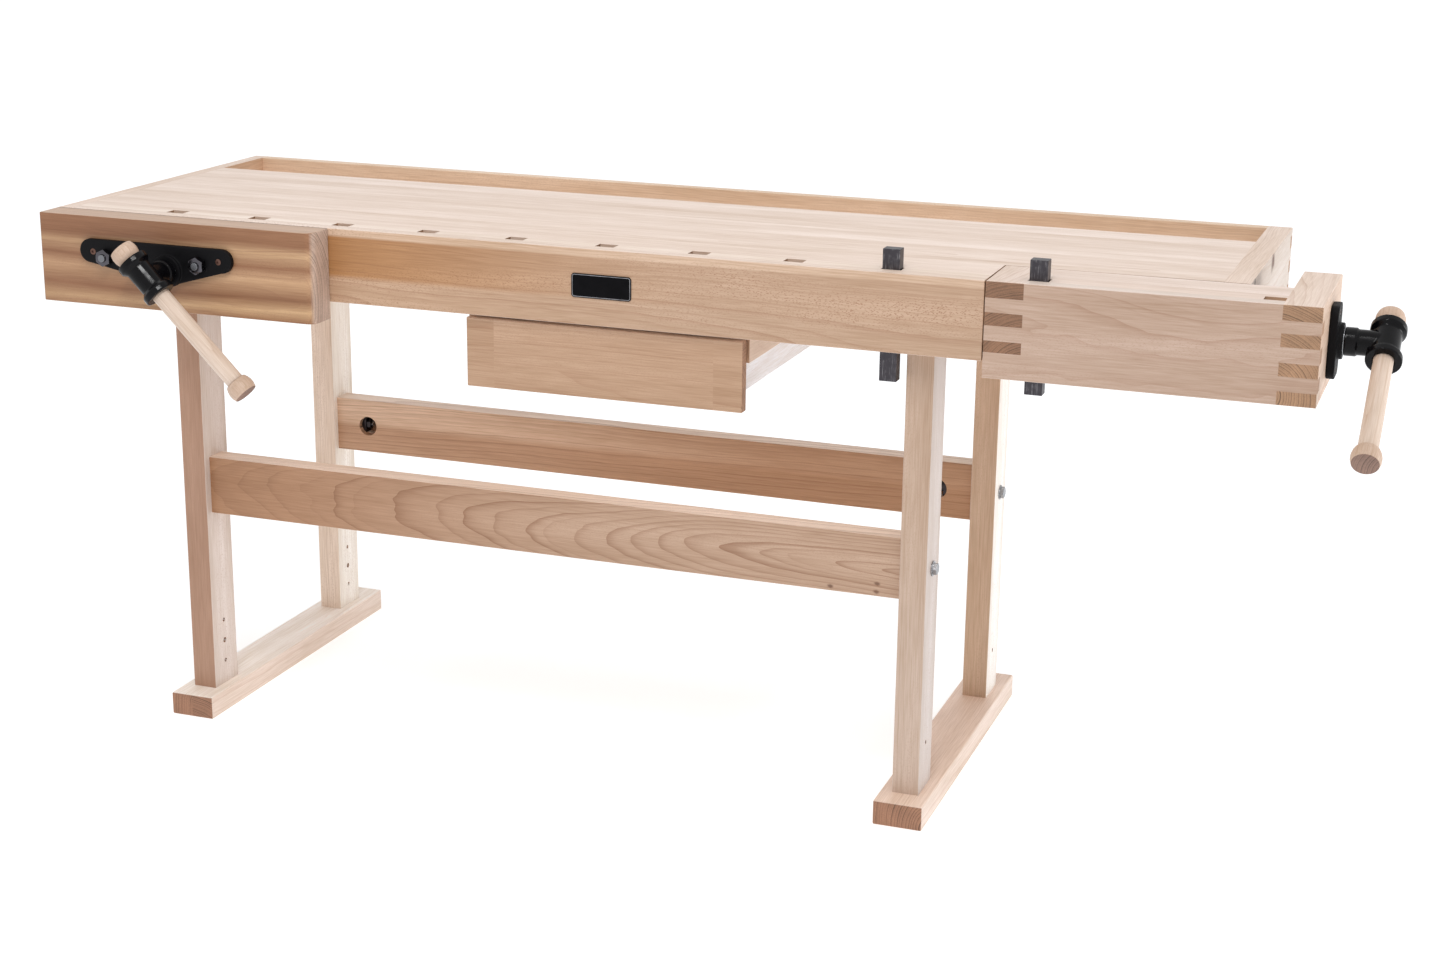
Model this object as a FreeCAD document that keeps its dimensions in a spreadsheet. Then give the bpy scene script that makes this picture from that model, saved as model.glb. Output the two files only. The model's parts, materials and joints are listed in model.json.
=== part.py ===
"""Cabinet maker's bench: a beech top on a trestle base, with a front vise at the
left, an L-shaped tail vise at the right, a row of square dog holes, a tool tray
at the back and one hanging drawer.

Millimetres. +X runs along the bench to the tail vise, +Y from the front apron to
the tool tray, +Z up. Every size below is measured from the bench's own corner:
x from the left end, y from the apron's front face, z from the floor. The placed
pieces are shifted so that the origin lies on the floor under the middle of the
bench with its vises.
"""
import FreeCAD, Part
import Sketcher
import os
import re

SIZES = {
    # worktop
    "bench_height": 860.0,
    "top_length": 1893.0,
    "top_depth": 620.0,
    "apron_height": 117.0,
    "apron_thick": 24.0,
    "slab_thick": 38.0,
    "tray_width": 133.0,
    "left_end_thick": 25.0,
    "right_end_thick": 38.0,
    "back_board_thick": 20.0,
    "finger_height": 19.5,
    "finger_drop": 12.0,
    "tray_floor_thick": 9.0,
    "tray_floor_lap": 26.0,
    "tray_tongue": 6.0,
    # dog holes
    "dog_hole_long": 30.0,
    "dog_hole_wide": 22.0,
    "dog_first": 202.0,
    "dog_pitch": 149.0,
    "dog_end_room": 120.0,
    # base
    "foot_inset": 5.0,
    "foot_width": 78.0,
    "foot_height": 39.0,
    "left_leg_middle": 198.0,
    "right_leg_inset": 456.0,
    "leg_width": 42.0,
    "leg_depth": 72.0,
    "front_leg_start": 48.0,
    "rear_leg_inset": 60.0,
    "tenon_width": 18.0,
    "tenon_depth": 44.0,
    "tenon_length": 20.0,
    "wood_fit": 0.2,
    "bearer_height": 27.0,
    "batten_height": 58.0,
    "batten_width": 38.0,
    "batten_start": 100.0,
    "batten_back_inset": 37.0,
    "rail_bottom": 348.0,
    "rail_height": 97.0,
    "rail_thick": 40.0,
    "front_rail_inset": 15.0,
    "rear_rail_inset": 13.0,
    "pocket_inset": 62.0,
    "pocket_wide": 35.0,
    "pocket_deep": 30.0,
    "dowel_wide": 10.0,
    "dowel_long": 50.0,
    "dowel_in_leg": 21.0,
    "dowel_offset": 30.0,
    "dowel_fit": 0.1,
    "spare_hole_wide": 7.0,
    "spare_middle_wide": 9.0,
    "spare_hole_deep": 14.0,
    "spare_hole_height": 115.0,
    "spare_hole_pitch": 36.5,
    # bolts of the base and the top
    "bolt_wide": 10.0,
    "bolt_hole": 11.0,
    "bolt_head_flats": 17.0,
    "bolt_head_high": 6.4,
    "bolt_nut_high": 8.0,
    "bolt_nut_fit": 0.1,
    "washer_wide": 24.0,
    "washer_thick": 2.0,
    "crescent_fit": 0.2,
    "crescent_face": 9.0,
    "crescent_wide": 20.0,
    "bolt_tail": 3.0,
    "top_bolt_front_inset": 90.0,
    "top_bolt_back_inset": 50.0,
    "top_bolt_in_slab": 22.0,
    # front vise: its screw's axis, measured from the top, and the rest from that axis
    "jaw_length": 493.0,
    "jaw_thick": 53.0,
    "jaw_height": 144.0,
    "jaw_gap": 0.4,
    "jaw_corner": 15.0,
    "front_axis_x": 239.0,
    "front_axis_drop": 76.5,
    "front_plate_offset": 22.0,
    "front_plate_half": 138.0,
    "front_plate_rise": 41.0,
    "front_plate_fall": 21.5,
    "front_plate_end": 19.0,
    "front_plate_nose": 12.0,
    "front_plate_thick": 9.0,
    "front_boss_long": 6.0,
    "front_collar_long": 12.0,
    "front_reach": 69.0,
    "front_screw_end": 255.0,
    "front_handle_tilt": 45.0,
    "rod_offset": 26.5,
    "rod_spread": 84.5,
    "rod_rise": 14.0,
    "rod_wide": 20.0,
    "rod_room": 1.0,
    "rod_end": 300.0,
    "stub_wide": 12.0,
    "stub_tail": 3.0,
    "rod_nut_flats": 19.0,
    "rod_nut_high": 10.0,
    "rod_washer_wide": 24.0,
    "sleeve_wide": 34.0,
    "sleeve_long": 50.0,
    "sleeve_flange_wide": 46.0,
    "sleeve_flange_thick": 6.0,
    "plate_screw_spread": 114.0,
    "plate_screw_rise": 21.0,
    "front_nut_flange_long": 68.0,
    "front_nut_flange_thick": 8.0,
    # screws and handles of both vises
    "screw_wide": 28.0,
    "screw_hole": 30.0,
    "running_fit": 0.05,
    "boss_wide": 52.0,
    "thrust_washer_wide": 38.0,
    "thrust_washer_thick": 1.6,
    "thrust_gap": 0.3,
    "ring_wide": 44.0,
    "ring_long": 10.0,
    "ring_room": 1.5,
    "nut_wide": 38.0,
    "nut_long": 50.0,
    "collar_wide": 41.0,
    "neck_wide": 37.0,
    "head_half": 35.5,
    "head_wide": 40.0,
    "head_rim_wide": 51.0,
    "head_rim_long": 10.0,
    "head_flare": 6.0,
    "handle_wide": 28.0,
    "handle_hole": 29.6,
    "handle_down": 214.0,
    "knob_wide": 42.0,
    "knob_long": 25.0,
    "knob_gap": 0.3,
    "knob_neck_wide": 34.7,
    "knob_shoulder_wide": 39.5,
    "knob_shoulder": 5.5,
    "knob_belly_start": 11.2,
    "knob_belly_end": 17.5,
    "knob_face_wide": 38.0,
    "wood_screw_wide": 5.0,
    "wood_screw_long": 34.0,
    "wood_screw_head": 10.0,
    "wood_screw_head_high": 4.0,
    "wood_screw_fit": 0.1,
    # tail vise
    "tail_notch_long": 354.5,
    "tail_gap": 1.5,
    "tail_overhang": 114.0,
    "tail_height": 141.0,
    "tail_depth": 124.0,
    "tail_jaw_thick": 55.0,
    "tail_cap_thick": 54.0,
    "tail_cap_depth": 253.0,
    "tail_inner_thick": 16.0,
    "tail_top_thick": 25.0,
    "tail_bottom_thick": 20.0,
    "tail_slide_gap": 1.0,
    "tail_axis_y": 127.0,
    "tail_axis_drop": 71.0,
    "tail_nut_plate_long": 80.0,
    "tail_nut_plate_thick": 8.0,
    "tail_screw_inside": 215.0,
    "tail_plate_wide": 56.0,
    "tail_plate_high": 105.0,
    "tail_plate_corner": 14.0,
    "tail_plate_thick": 12.0,
    "tail_boss_long": 7.0,
    "tail_collar_long": 17.0,
    "tail_reach": 77.0,
    "tail_handle_tilt": 60.0,
    "tail_screw_spread": 41.0,
    "tongue_board_front": 66.0,
    "tongue_board_drop": 30.0,
    "guide_bar_front": 190.0,
    "guide_bar_wide": 50.0,
    "guide_bar_high": 46.0,
    "guide_bar_drop": 31.0,
    "guide_bar_room": 24.0,
    "guide_fit": 0.5,
    "saddle_inset": 95.0,
    "saddle_long": 60.0,
    "saddle_wall": 16.0,
    "strip_long": 255.0,
    "strip_drop": 11.0,
    "strip_high": 9.0,
    "strip_deep": 7.0,
    "strip_fit": 0.4,
    # finger joints of the tail vise, each finger's head and foot measured down from the top
    "jaw_finger_one_foot": 24.0,
    "jaw_finger_two_head": 45.0,
    "jaw_finger_two_foot": 64.0,
    "jaw_finger_three_head": 86.0,
    "jaw_finger_three_foot": 103.0,
    "cap_finger_one_foot": 22.0,
    "cap_finger_two_head": 40.0,
    "cap_finger_two_foot": 59.0,
    "cap_finger_three_head": 81.0,
    "cap_finger_three_foot": 100.0,
    "cap_finger_four_head": 121.0,
    # drawer
    "drawer_leg_distance": 263.0,
    "drawer_width": 452.0,
    "drawer_face": 12.0,
    "drawer_front_thick": 19.0,
    "drawer_front_gap": 7.0,
    "drawer_front_high": 109.0,
    "drawer_side_inset": 10.0,
    "drawer_side_thick": 12.0,
    "drawer_side_gap": 10.0,
    "drawer_side_high": 82.0,
    "drawer_side_long": 381.0,
    "drawer_bottom_lift": 6.0,
    "drawer_bottom_thick": 6.0,
    "drawer_groove_deep": 6.0,
    "hanger_thick": 14.0,
    "hanger_lap": 33.0,
    "hanger_back_inset": 37.0,
    "hanger_nose_gap": 2.0,
    "hanger_gap": 0.5,
    "runner_lift": 8.0,
    "runner_high": 10.0,
    "runner_deep": 6.0,
    "runner_gap": 0.3,
    # name plate
    "badge_start": 904.0,
    "badge_long": 97.0,
    "badge_drop": 38.0,
    "badge_high": 37.0,
    "badge_thick": 1.6,
    "badge_corner": 5.0,
    # bench dogs
    "dog_wide": 26.0,
    "dog_deep": 20.0,
    "dog_long": 196.0,
    "dog_stand": 30.0,
    "dog_spring_thick": 1.0,
    "dog_spring_wide": 12.0,
    "dog_spring_low": 40.0,
    "dog_spring_long": 110.0,
    "dog_spring_gap": 0.3,
}

# Places that several pieces share, each worked out from the sizes and from other places.
PLACES = {
    # worktop
    "apron_low": "bench_height - apron_height",
    "slab_low": "bench_height - slab_thick",
    "tray_floor_low": "slab_low - tray_floor_thick",
    "apron_end": "top_length - tail_notch_long",
    "right_board_start": "top_length - right_end_thick",
    "dog_strip_back": "apron_thick + dog_hole_wide",
    "tray_back": "top_depth - back_board_thick",
    "slab_back": "tray_back - tray_width",
    "notch_back": "tail_depth + tail_slide_gap",
    # base
    "right_leg_middle": "top_length - right_leg_inset",
    "rear_leg_start": "top_depth - rear_leg_inset - leg_depth",
    "bearer_low": "bearer_top - bearer_height",
    "bearer_top": "slab_low - batten_height",
    "batten_end": "slab_back - batten_back_inset",
    "front_top_bolt": "batten_start + top_bolt_front_inset",
    "back_top_bolt": "batten_end - top_bolt_back_inset",
    "front_rail_start": "front_leg_start + front_rail_inset",
    "rear_rail_start": "rear_leg_start + rear_rail_inset",
    "rail_middle": "rail_bottom + rail_height / 2",
    "rail_left_end": "left_leg_middle + leg_width / 2",
    "rail_right_end": "right_leg_middle - leg_width / 2",
    # front vise
    "jaw_back": "0 - jaw_gap",
    "jaw_face": "jaw_back - jaw_thick",
    "jaw_low": "bench_height - jaw_height",
    "front_axis_z": "bench_height - front_axis_drop",
    "front_plate_middle": "front_axis_x - front_plate_offset",
    "front_plate_top": "front_axis_z + front_plate_rise",
    "rod_middle": "front_axis_x - rod_offset",
    "rod_axis_z": "front_axis_z + rod_rise",
    "plate_screw_z": "front_axis_z + plate_screw_rise",
    "front_head_y": "jaw_face - front_reach",
    # tail vise
    "tail_start": "apron_end + tail_gap",
    "tail_end": "top_length + tail_overhang",
    "tail_low": "bench_height - tail_height",
    "tail_jaw_end": "tail_start + tail_jaw_thick",
    "tail_cap_start": "tail_end - tail_cap_thick",
    "tail_dog_board_back": "dog_strip_back + tail_inner_thick",
    "tail_axis_z": "bench_height - tail_axis_drop",
    "tail_head_x": "tail_end + tail_reach",
    "guide_bar_start": "right_leg_middle + foot_width / 2 + guide_bar_room",
    "guide_bar_low": "slab_low - guide_bar_drop - guide_bar_high",
    "saddle_start": "right_board_start - saddle_inset - saddle_long",
    "strip_low": "bench_height - strip_drop - strip_high",
    # drawer
    "drawer_end": "right_leg_middle - drawer_leg_distance",
    "drawer_start": "drawer_end - drawer_width",
    "drawer_front_back": "drawer_face + drawer_front_thick",
    "drawer_front_low": "apron_low - drawer_front_gap - drawer_front_high",
    "drawer_side_top": "apron_low - drawer_side_gap",
    "drawer_side_low": "drawer_side_top - drawer_side_high",
    "drawer_side_end": "drawer_front_back + drawer_side_long",
    "drawer_bottom_low": "drawer_side_low + drawer_bottom_lift",
    "hanger_low": "drawer_side_top - hanger_lap",
    "hanger_start": "dog_strip_back + runner_gap",
    "hanger_end": "slab_back - hanger_back_inset",
    "runner_low": "hanger_low + runner_lift",
    # the model's own origin, under the middle of the bench with its vises
    "origin_x": "(tail_head_x + head_rim_wide / 2) / 2",
    "origin_y": "(top_depth + front_head_y - head_rim_wide / 2) / 2",
}

FINGERS_AT_BACK = 3

doc = FreeCAD.newDocument("WoodworkingBench")
sheet = doc.addObject("Spreadsheet::Sheet", "Sizes")
pieces = {}

WORD = re.compile(r"[a-z_]+")
TURNS = {
    "x": FreeCAD.Rotation(FreeCAD.Vector(0, 1, 0), 90),
    "y": FreeCAD.Rotation(FreeCAD.Vector(1, 0, 0), -90),
    "z": FreeCAD.Rotation(),
}


def fill_sheet():
    """One row for each driving size: its name and its value in millimetres."""
    for row, (name, value) in enumerate(SIZES.items(), start=1):
        sheet.set(f"A{row}", name)
        sheet.set(f"B{row}", str(value))
        sheet.setAlias(f"B{row}", name)
    doc.recompute()


def cell_or_place(found):
    """A word of an expression: a place is worked out, a size becomes its cell in the sheet."""
    word = found.group(0)
    if word in PLACES:
        return f"({linked(PLACES[word])})"
    return f"Sizes.{word}" if word in SIZES else word


def linked(expression):
    """The expression in terms of the sheet's cells alone."""
    return WORD.sub(cell_or_place, str(expression))


def bind(thing, **values):
    """Binds properties to expressions in the sheet's sizes."""
    for name, expression in values.items():
        thing.setExpression(name, linked(expression))


def place(thing, x, y, z, local=False):
    """Binds a placement's base. Local shapes are built about their own piece's origin."""
    if not local:
        x = f"({x}) - origin_x"
        y = f"({y}) - origin_y"
    thing.setExpression("Placement.Base.x", linked(x))
    thing.setExpression("Placement.Base.y", linked(y))
    thing.setExpression("Placement.Base.z", linked(z))


def block(x, y, z, local=False):
    """A box from three (start, end) spans."""
    thing = doc.addObject("Part::Box", "Block")
    bind(
        thing,
        Length=f"({x[1]}) - ({x[0]})",
        Width=f"({y[1]}) - ({y[0]})",
        Height=f"({z[1]}) - ({z[0]})",
    )
    place(thing, x[0], y[0], z[0], local)
    return thing


def sorted_span(first, second, direction):
    """The span from first to second as low to high, for a piece that faces -1 or 1."""
    return (first, second) if direction > 0 else (second, first)


def ends_of(axis, centre, span):
    """The base point of a round bar that runs along an axis, from its centre line."""
    points = {
        "x": (span[0], centre[0], centre[1]),
        "y": (centre[0], span[0], centre[1]),
        "z": (centre[0], centre[1], span[0]),
    }
    return points[axis]


def round_bar(axis, centre, span, wide, local=False):
    """A cylinder along an axis. centre holds the other two coordinates."""
    thing = doc.addObject("Part::Cylinder", "Round")
    thing.Placement.Rotation = TURNS[axis]
    bind(thing, Radius=f"({wide}) / 2", Height=f"({span[1]}) - ({span[0]})")
    place(thing, *ends_of(axis, centre, span), local)
    return thing


def hex_bar(axis, centre, span, flats):
    """A hexagonal bar along an axis, by its width across flats."""
    thing = doc.addObject("Part::Prism", "Hexagon")
    thing.Polygon = 6
    thing.Placement.Rotation = TURNS[axis]
    bind(thing, Circumradius=f"({flats}) / sqrt(3)", Height=f"({span[1]}) - ({span[0]})")
    place(thing, *ends_of(axis, centre, span))
    return thing


def joined(*things):
    """One solid from shapes that meet."""
    if len(things) == 1:
        return things[0]
    thing = doc.addObject("Part::MultiFuse", "Joined")
    thing.Shapes = list(things)
    thing.Refine = True
    return thing


def cut(base, *tools):
    """The base less every tool."""
    if not tools:
        return base
    thing = doc.addObject("Part::Cut", "Cut")
    thing.Base = base
    thing.Tool = joined(*tools)
    return thing


def together(*things):
    """Separate solids that share a node."""
    thing = doc.addObject("Part::Compound", "Group")
    thing.Links = list(things)
    return thing


def piece(label, thing):
    """Names a finished sub-part."""
    thing.Label = label
    pieces[label] = thing
    return thing


def new_body(name):
    return doc.addObject("PartDesign::Body", name)


def new_sketch(body, role):
    """A sketch on one of the body's own origin planes."""
    sketch = body.newObject("Sketcher::SketchObject", "Outline")
    plane = [item for item in body.Origin.OriginFeatures if item.Role == role][0]
    sketch.AttachmentSupport = [(plane, "")]
    sketch.MapMode = "FlatFace"
    return sketch


def value_of(expression):
    """An expression's present value, for a sketch's first shape."""
    value = sheet.evalExpression(linked(expression))
    return float(getattr(value, "Value", value))


def draw_outline(sketch, corners):
    """A closed outline through corners given as (across, up) expressions."""
    points = [FreeCAD.Vector(value_of(a), value_of(b), 0) for a, b in corners]
    count = len(points)
    for i, point in enumerate(points):
        sketch.addGeometry(Part.LineSegment(point, points[(i + 1) % count]), False)
    for i in range(count):
        sketch.addConstraint(Sketcher.Constraint("Coincident", i, 2, (i + 1) % count, 1))
    for i, (across, up) in enumerate(corners):
        for kind, expression, value in (
            ("DistanceX", across, points[i].x),
            ("DistanceY", up, points[i].y),
        ):
            number = sketch.addConstraint(Sketcher.Constraint(kind, -1, 1, i, 1, value))
            sketch.setExpression(f"Constraints[{number}]", linked(expression))


def turned(name, profile):
    """A body turned about its own Z axis, from (radius, height) corners."""
    body = new_body(name)
    sketch = new_sketch(body, "XZ_Plane")
    draw_outline(sketch, profile)
    solid = body.newObject("PartDesign::Revolution", "Turned")
    solid.Profile = sketch
    solid.ReferenceAxis = (sketch, ["V_Axis"])
    solid.Angle = 360
    return body


def padded(name, role, corners, length):
    """A body padded from an outline on one of its origin planes."""
    body = new_body(name)
    sketch = new_sketch(body, role)
    draw_outline(sketch, corners)
    solid = body.newObject("PartDesign::Pad", "Padded")
    solid.Profile = sketch
    bind(solid, Length=length)
    doc.recompute()
    return body


def rounded(body, radius, wanted):
    """Rounds the edges of a body's tip that wanted() picks."""
    doc.recompute()
    base = body.Tip
    names = [f"Edge{i + 1}" for i, edge in enumerate(base.Shape.Edges) if wanted(edge)]
    solid = body.newObject("PartDesign::Fillet", "Rounded")
    solid.Base = (base, names)
    bind(solid, Radius=radius)
    return body


def runs_along(edge, direction):
    """Is the edge straight and parallel to the direction?"""
    if not isinstance(edge.Curve, (Part.Line, Part.LineSegment)):
        return False
    return abs(edge.Curve.Direction.dot(FreeCAD.Vector(*direction))) > 0.999


# ---------------------------------------------------------------- base
LEGS = {
    "leg_front_left": ("left_leg_middle", "front_leg_start", "front_rail_start", -1),
    "leg_front_right": ("right_leg_middle", "front_leg_start", "front_rail_start", 1),
    "leg_rear_left": ("left_leg_middle", "rear_leg_start", "rear_rail_start", -1),
    "leg_rear_right": ("right_leg_middle", "rear_leg_start", "rear_rail_start", 1),
}


def middle_of_rail(rail_start):
    return f"({rail_start} + rail_thick / 2)"


def tenon_spans(middle, start, fit="0"):
    """The x and y spans of a leg's tenon, or of its mortise with a fit round it."""
    depth_middle = f"({start} + leg_depth / 2)"
    half_width = f"(tenon_width / 2 + {fit})"
    half_depth = f"(tenon_depth / 2 + {fit})"
    across = (f"{middle} - {half_width}", f"{middle} + {half_width}")
    along = (f"{depth_middle} - {half_depth}", f"{depth_middle} + {half_depth}")
    return across, along


def leg(label, middle, start, rail_start, outward):
    """A leg with a tenon at both ends, and the holes for its rail's bolt and dowels."""
    inner = f"({middle} - {outward} * leg_width / 2)"
    outer = f"({middle} + {outward} * leg_width / 2)"
    wide = (f"{middle} - leg_width / 2", f"{middle} + leg_width / 2")
    across, along = tenon_spans(middle, start)
    post = block(wide, (start, f"{start} + leg_depth"), ("foot_height", "bearer_low"))
    tenon = block(across, along, ("foot_height - tenon_length", "bearer_low + tenon_length"))
    depth = middle_of_rail(rail_start)
    holes = [round_bar("x", (depth, "rail_middle"), wide, "bolt_hole")]
    dowel_room = sorted_span(inner, f"{inner} + {outward} * (dowel_in_leg + dowel_fit)", outward)
    for side in ("-", "+"):
        height = f"rail_middle {side} dowel_offset"
        holes.append(round_bar("x", (depth, height), dowel_room, "dowel_wide + 2 * dowel_fit"))
    if outward < 0:
        spare = (f"{inner} - spare_hole_deep", inner)
        sizes = {-1: "spare_hole_wide", 0: "spare_middle_wide", 1: "spare_hole_wide"}
    else:
        spare = (f"{outer} - spare_hole_deep", outer)
        sizes = {0: "spare_hole_wide"}
    for step, size in sizes.items():
        height = f"spare_hole_height + {step} * spare_hole_pitch"
        holes.append(round_bar("x", (depth, height), spare, size))
    piece(label, cut(joined(post, tenon), *holes))


def make_legs():
    for label, (middle, start, rail_start, outward) in LEGS.items():
        leg(label, middle, start, rail_start, outward)


def mortises(middle, z):
    """The two mortises that a foot or a bearer has for its legs."""
    for start in ("front_leg_start", "rear_leg_start"):
        across, along = tenon_spans(middle, start, "wood_fit")
        yield block(across, along, z)


def make_feet():
    for side in ("left", "right"):
        middle = f"{side}_leg_middle"
        foot = block(
            (f"{middle} - foot_width / 2", f"{middle} + foot_width / 2"),
            ("foot_inset", "top_depth - foot_inset"),
            ("0", "foot_height"),
        )
        seats = mortises(middle, ("foot_height - tenon_length - wood_fit", "foot_height"))
        piece(f"foot_{side}", cut(foot, *seats))


def top_bolt_x(side):
    """The line of a trestle's two top bolts: halfway across its batten."""
    return f"({side}_leg_middle - foot_width / 2 + batten_width / 2)"


def make_bearers_and_battens():
    """Bearers cap the legs. Battens stand on them, behind the vise's nut, and carry the slab."""
    bearers = []
    battens = []
    bolts = []
    for side in ("left", "right"):
        middle = f"{side}_leg_middle"
        start_x = f"{middle} - foot_width / 2"
        bearer = block(
            (start_x, f"{middle} + foot_width / 2"),
            ("front_leg_start", "rear_leg_start + leg_depth"),
            ("bearer_low", "bearer_top"),
        )
        batten = block(
            (start_x, f"{start_x} + batten_width"),
            ("batten_start", "batten_end"),
            ("bearer_top", "slab_low"),
        )
        bearer_cuts = list(mortises(middle, ("bearer_low", "bearer_low + tenon_length + wood_fit")))
        batten_cuts = []
        for line in ("front_top_bolt", "back_top_bolt"):
            centre = (top_bolt_x(side), line)
            bearer_cuts.append(round_bar("z", centre, ("bearer_low", "bearer_top"), "bolt_hole"))
            batten_cuts.append(round_bar("z", centre, ("bearer_top", "slab_low"), "bolt_hole"))
            head_span = ("bearer_low - bolt_head_high", "bearer_low")
            head = hex_bar("z", centre, head_span, "bolt_head_flats")
            shank_span = ("bearer_low - bolt_head_high", "slab_low + top_bolt_in_slab")
            bolts.append(joined(head, round_bar("z", centre, shank_span, "bolt_wide")))
        bearers.append(cut(bearer, *bearer_cuts))
        battens.append(cut(batten, *batten_cuts))
    piece("bearers", together(*bearers))
    piece("battens", together(*battens))
    piece("top_bolts", together(*bolts))


def pocket_x(outward):
    """The middle of a rail's nut pocket at its left (-1) or right (1) end."""
    return "(rail_left_end + pocket_inset)" if outward < 0 else "(rail_right_end - pocket_inset)"


def make_rail(label, start, pocket_face):
    """A rail between two legs, with a nut pocket, a bolt hole and two dowel holes at each end."""
    middle = middle_of_rail(start)
    rail = block(
        ("rail_left_end", "rail_right_end"),
        (start, f"{start} + rail_thick"),
        ("rail_bottom", "rail_bottom + rail_height"),
    )
    front = (start, f"{start} + pocket_deep")
    rear = (f"{start} + rail_thick - pocket_deep", f"{start} + rail_thick")
    pocket_span = front if pocket_face == "front" else rear
    holes = []
    for outward, end in ((-1, "rail_left_end"), (1, "rail_right_end")):
        holes.append(round_bar("y", (pocket_x(outward), "rail_middle"), pocket_span, "pocket_wide"))
        bolt_span = sorted_span(pocket_x(outward), end, outward)
        holes.append(round_bar("x", (middle, "rail_middle"), bolt_span, "bolt_hole"))
        inside = f"{end} - {outward} * (dowel_long - dowel_in_leg + dowel_fit)"
        for side in ("-", "+"):
            height = f"rail_middle {side} dowel_offset"
            span = sorted_span(inside, end, outward)
            holes.append(round_bar("x", (middle, height), span, "dowel_wide + 2 * dowel_fit"))
    piece(label, cut(rail, *holes))


def make_rails():
    make_rail("rail_front", "front_rail_start", "rear")
    make_rail("rail_rear", "rear_rail_start", "front")


def rail_fasteners(middle, outward):
    """The bolt, outer washer, crescent washer, nut and two dowels at one end of one rail."""
    leg_middle = "left_leg_middle" if outward < 0 else "right_leg_middle"
    leg_face = f"({leg_middle} + {outward} * leg_width / 2)"
    rail_end = "rail_left_end" if outward < 0 else "rail_right_end"
    axis = (middle, "rail_middle")
    centre = pocket_x(outward)
    head_seat = f"({leg_face} + {outward} * washer_thick)"
    face = f"({centre} + {outward} * crescent_face)"
    nut_end = f"({face} - {outward} * bolt_nut_high)"
    head_top = f"({head_seat} + {outward} * bolt_head_high)"
    bolt_end = f"({nut_end} - {outward} * bolt_tail)"
    head = hex_bar("x", axis, sorted_span(head_seat, head_top, outward), "bolt_head_flats")
    shank = round_bar("x", axis, sorted_span(bolt_end, head_seat, outward), "bolt_wide")
    loose = "bolt_wide + 2 * bolt_nut_fit"
    washer_span = sorted_span(leg_face, head_seat, outward)
    washer = cut(
        round_bar("x", axis, washer_span, "washer_wide"),
        round_bar("x", axis, washer_span, loose),
    )
    outer = f"{centre} + {outward} * pocket_wide"
    depth = (f"{middle} - crescent_wide / 2", f"{middle} + crescent_wide / 2")
    slice_span = ("rail_middle - pocket_wide", "rail_middle + pocket_wide")
    beyond = block(sorted_span(face, outer, outward), depth, slice_span)
    crescent = doc.addObject("Part::MultiCommon", "Crescent")
    crescent.Shapes = [
        beyond,
        round_bar("y", (centre, "rail_middle"), depth, "pocket_wide - 2 * crescent_fit"),
    ]
    crescent_hole = round_bar("x", axis, sorted_span(face, outer, outward), loose)
    nut_span = sorted_span(nut_end, face, outward)
    nut = cut(
        hex_bar("x", axis, nut_span, "bolt_head_flats"),
        round_bar("x", axis, nut_span, loose),
    )
    dowels = []
    for side in ("-", "+"):
        height = f"rail_middle {side} dowel_offset"
        span = sorted_span(
            f"{rail_end} - {outward} * (dowel_long - dowel_in_leg)",
            f"{rail_end} + {outward} * dowel_in_leg",
            outward,
        )
        dowels.append(round_bar("x", (middle, height), span, "dowel_wide"))
    return [joined(head, shank), washer], [cut(crescent, crescent_hole), nut], dowels


def make_rail_fasteners():
    bolts = []
    nuts = []
    dowels = []
    for rail_start in ("front_rail_start", "rear_rail_start"):
        for outward in (-1, 1):
            made = rail_fasteners(middle_of_rail(rail_start), outward)
            bolts += made[0]
            nuts += made[1]
            dowels += made[2]
    piece("rail_bolts", together(*bolts))
    piece("rail_nuts", together(*nuts))
    piece("rail_dowels", together(*dowels))


# ---------------------------------------------------------------- worktop
def dog_centre(number):
    return f"(dog_first + {number} * dog_pitch)"


def hole_count():
    """As many dog holes as the apron has room for."""
    return int(value_of("(apron_end - dog_first - dog_end_room) / dog_pitch")) + 1


def vise_passages(y):
    """The holes for the front vise's screw and guide rods, through a span in y."""
    passages = [round_bar("y", ("front_axis_x", "front_axis_z"), y, "screw_hole")]
    for side in ("-", "+"):
        passages.append(round_bar("y", front_rod_centre(side), y, "rod_wide + 2 * rod_room"))
    return passages


def front_rod_centre(side):
    return f"(rod_middle {side} rod_spread)", "rod_axis_z"


def make_apron():
    y = ("0", "apron_thick")
    board = block(("left_end_thick", "apron_end"), y, ("apron_low", "bench_height"))
    piece("front_apron", cut(board, *vise_passages(y)))


def make_dog_spacers():
    """The blocks between the dog holes, glued behind the apron."""
    y = ("apron_thick", "dog_strip_back")
    edges = ["left_end_thick"]
    for number in range(hole_count()):
        edges.append(f"{dog_centre(number)} - dog_hole_long / 2")
        edges.append(f"{dog_centre(number)} + dog_hole_long / 2")
    edges.append("apron_end")
    blocks = []
    for start, end in zip(edges[::2], edges[1::2]):
        blocks.append(block((start, end), y, ("apron_low", "bench_height")))
    piece("dog_spacers", cut(together(*blocks), *vise_passages(y)))


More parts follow.
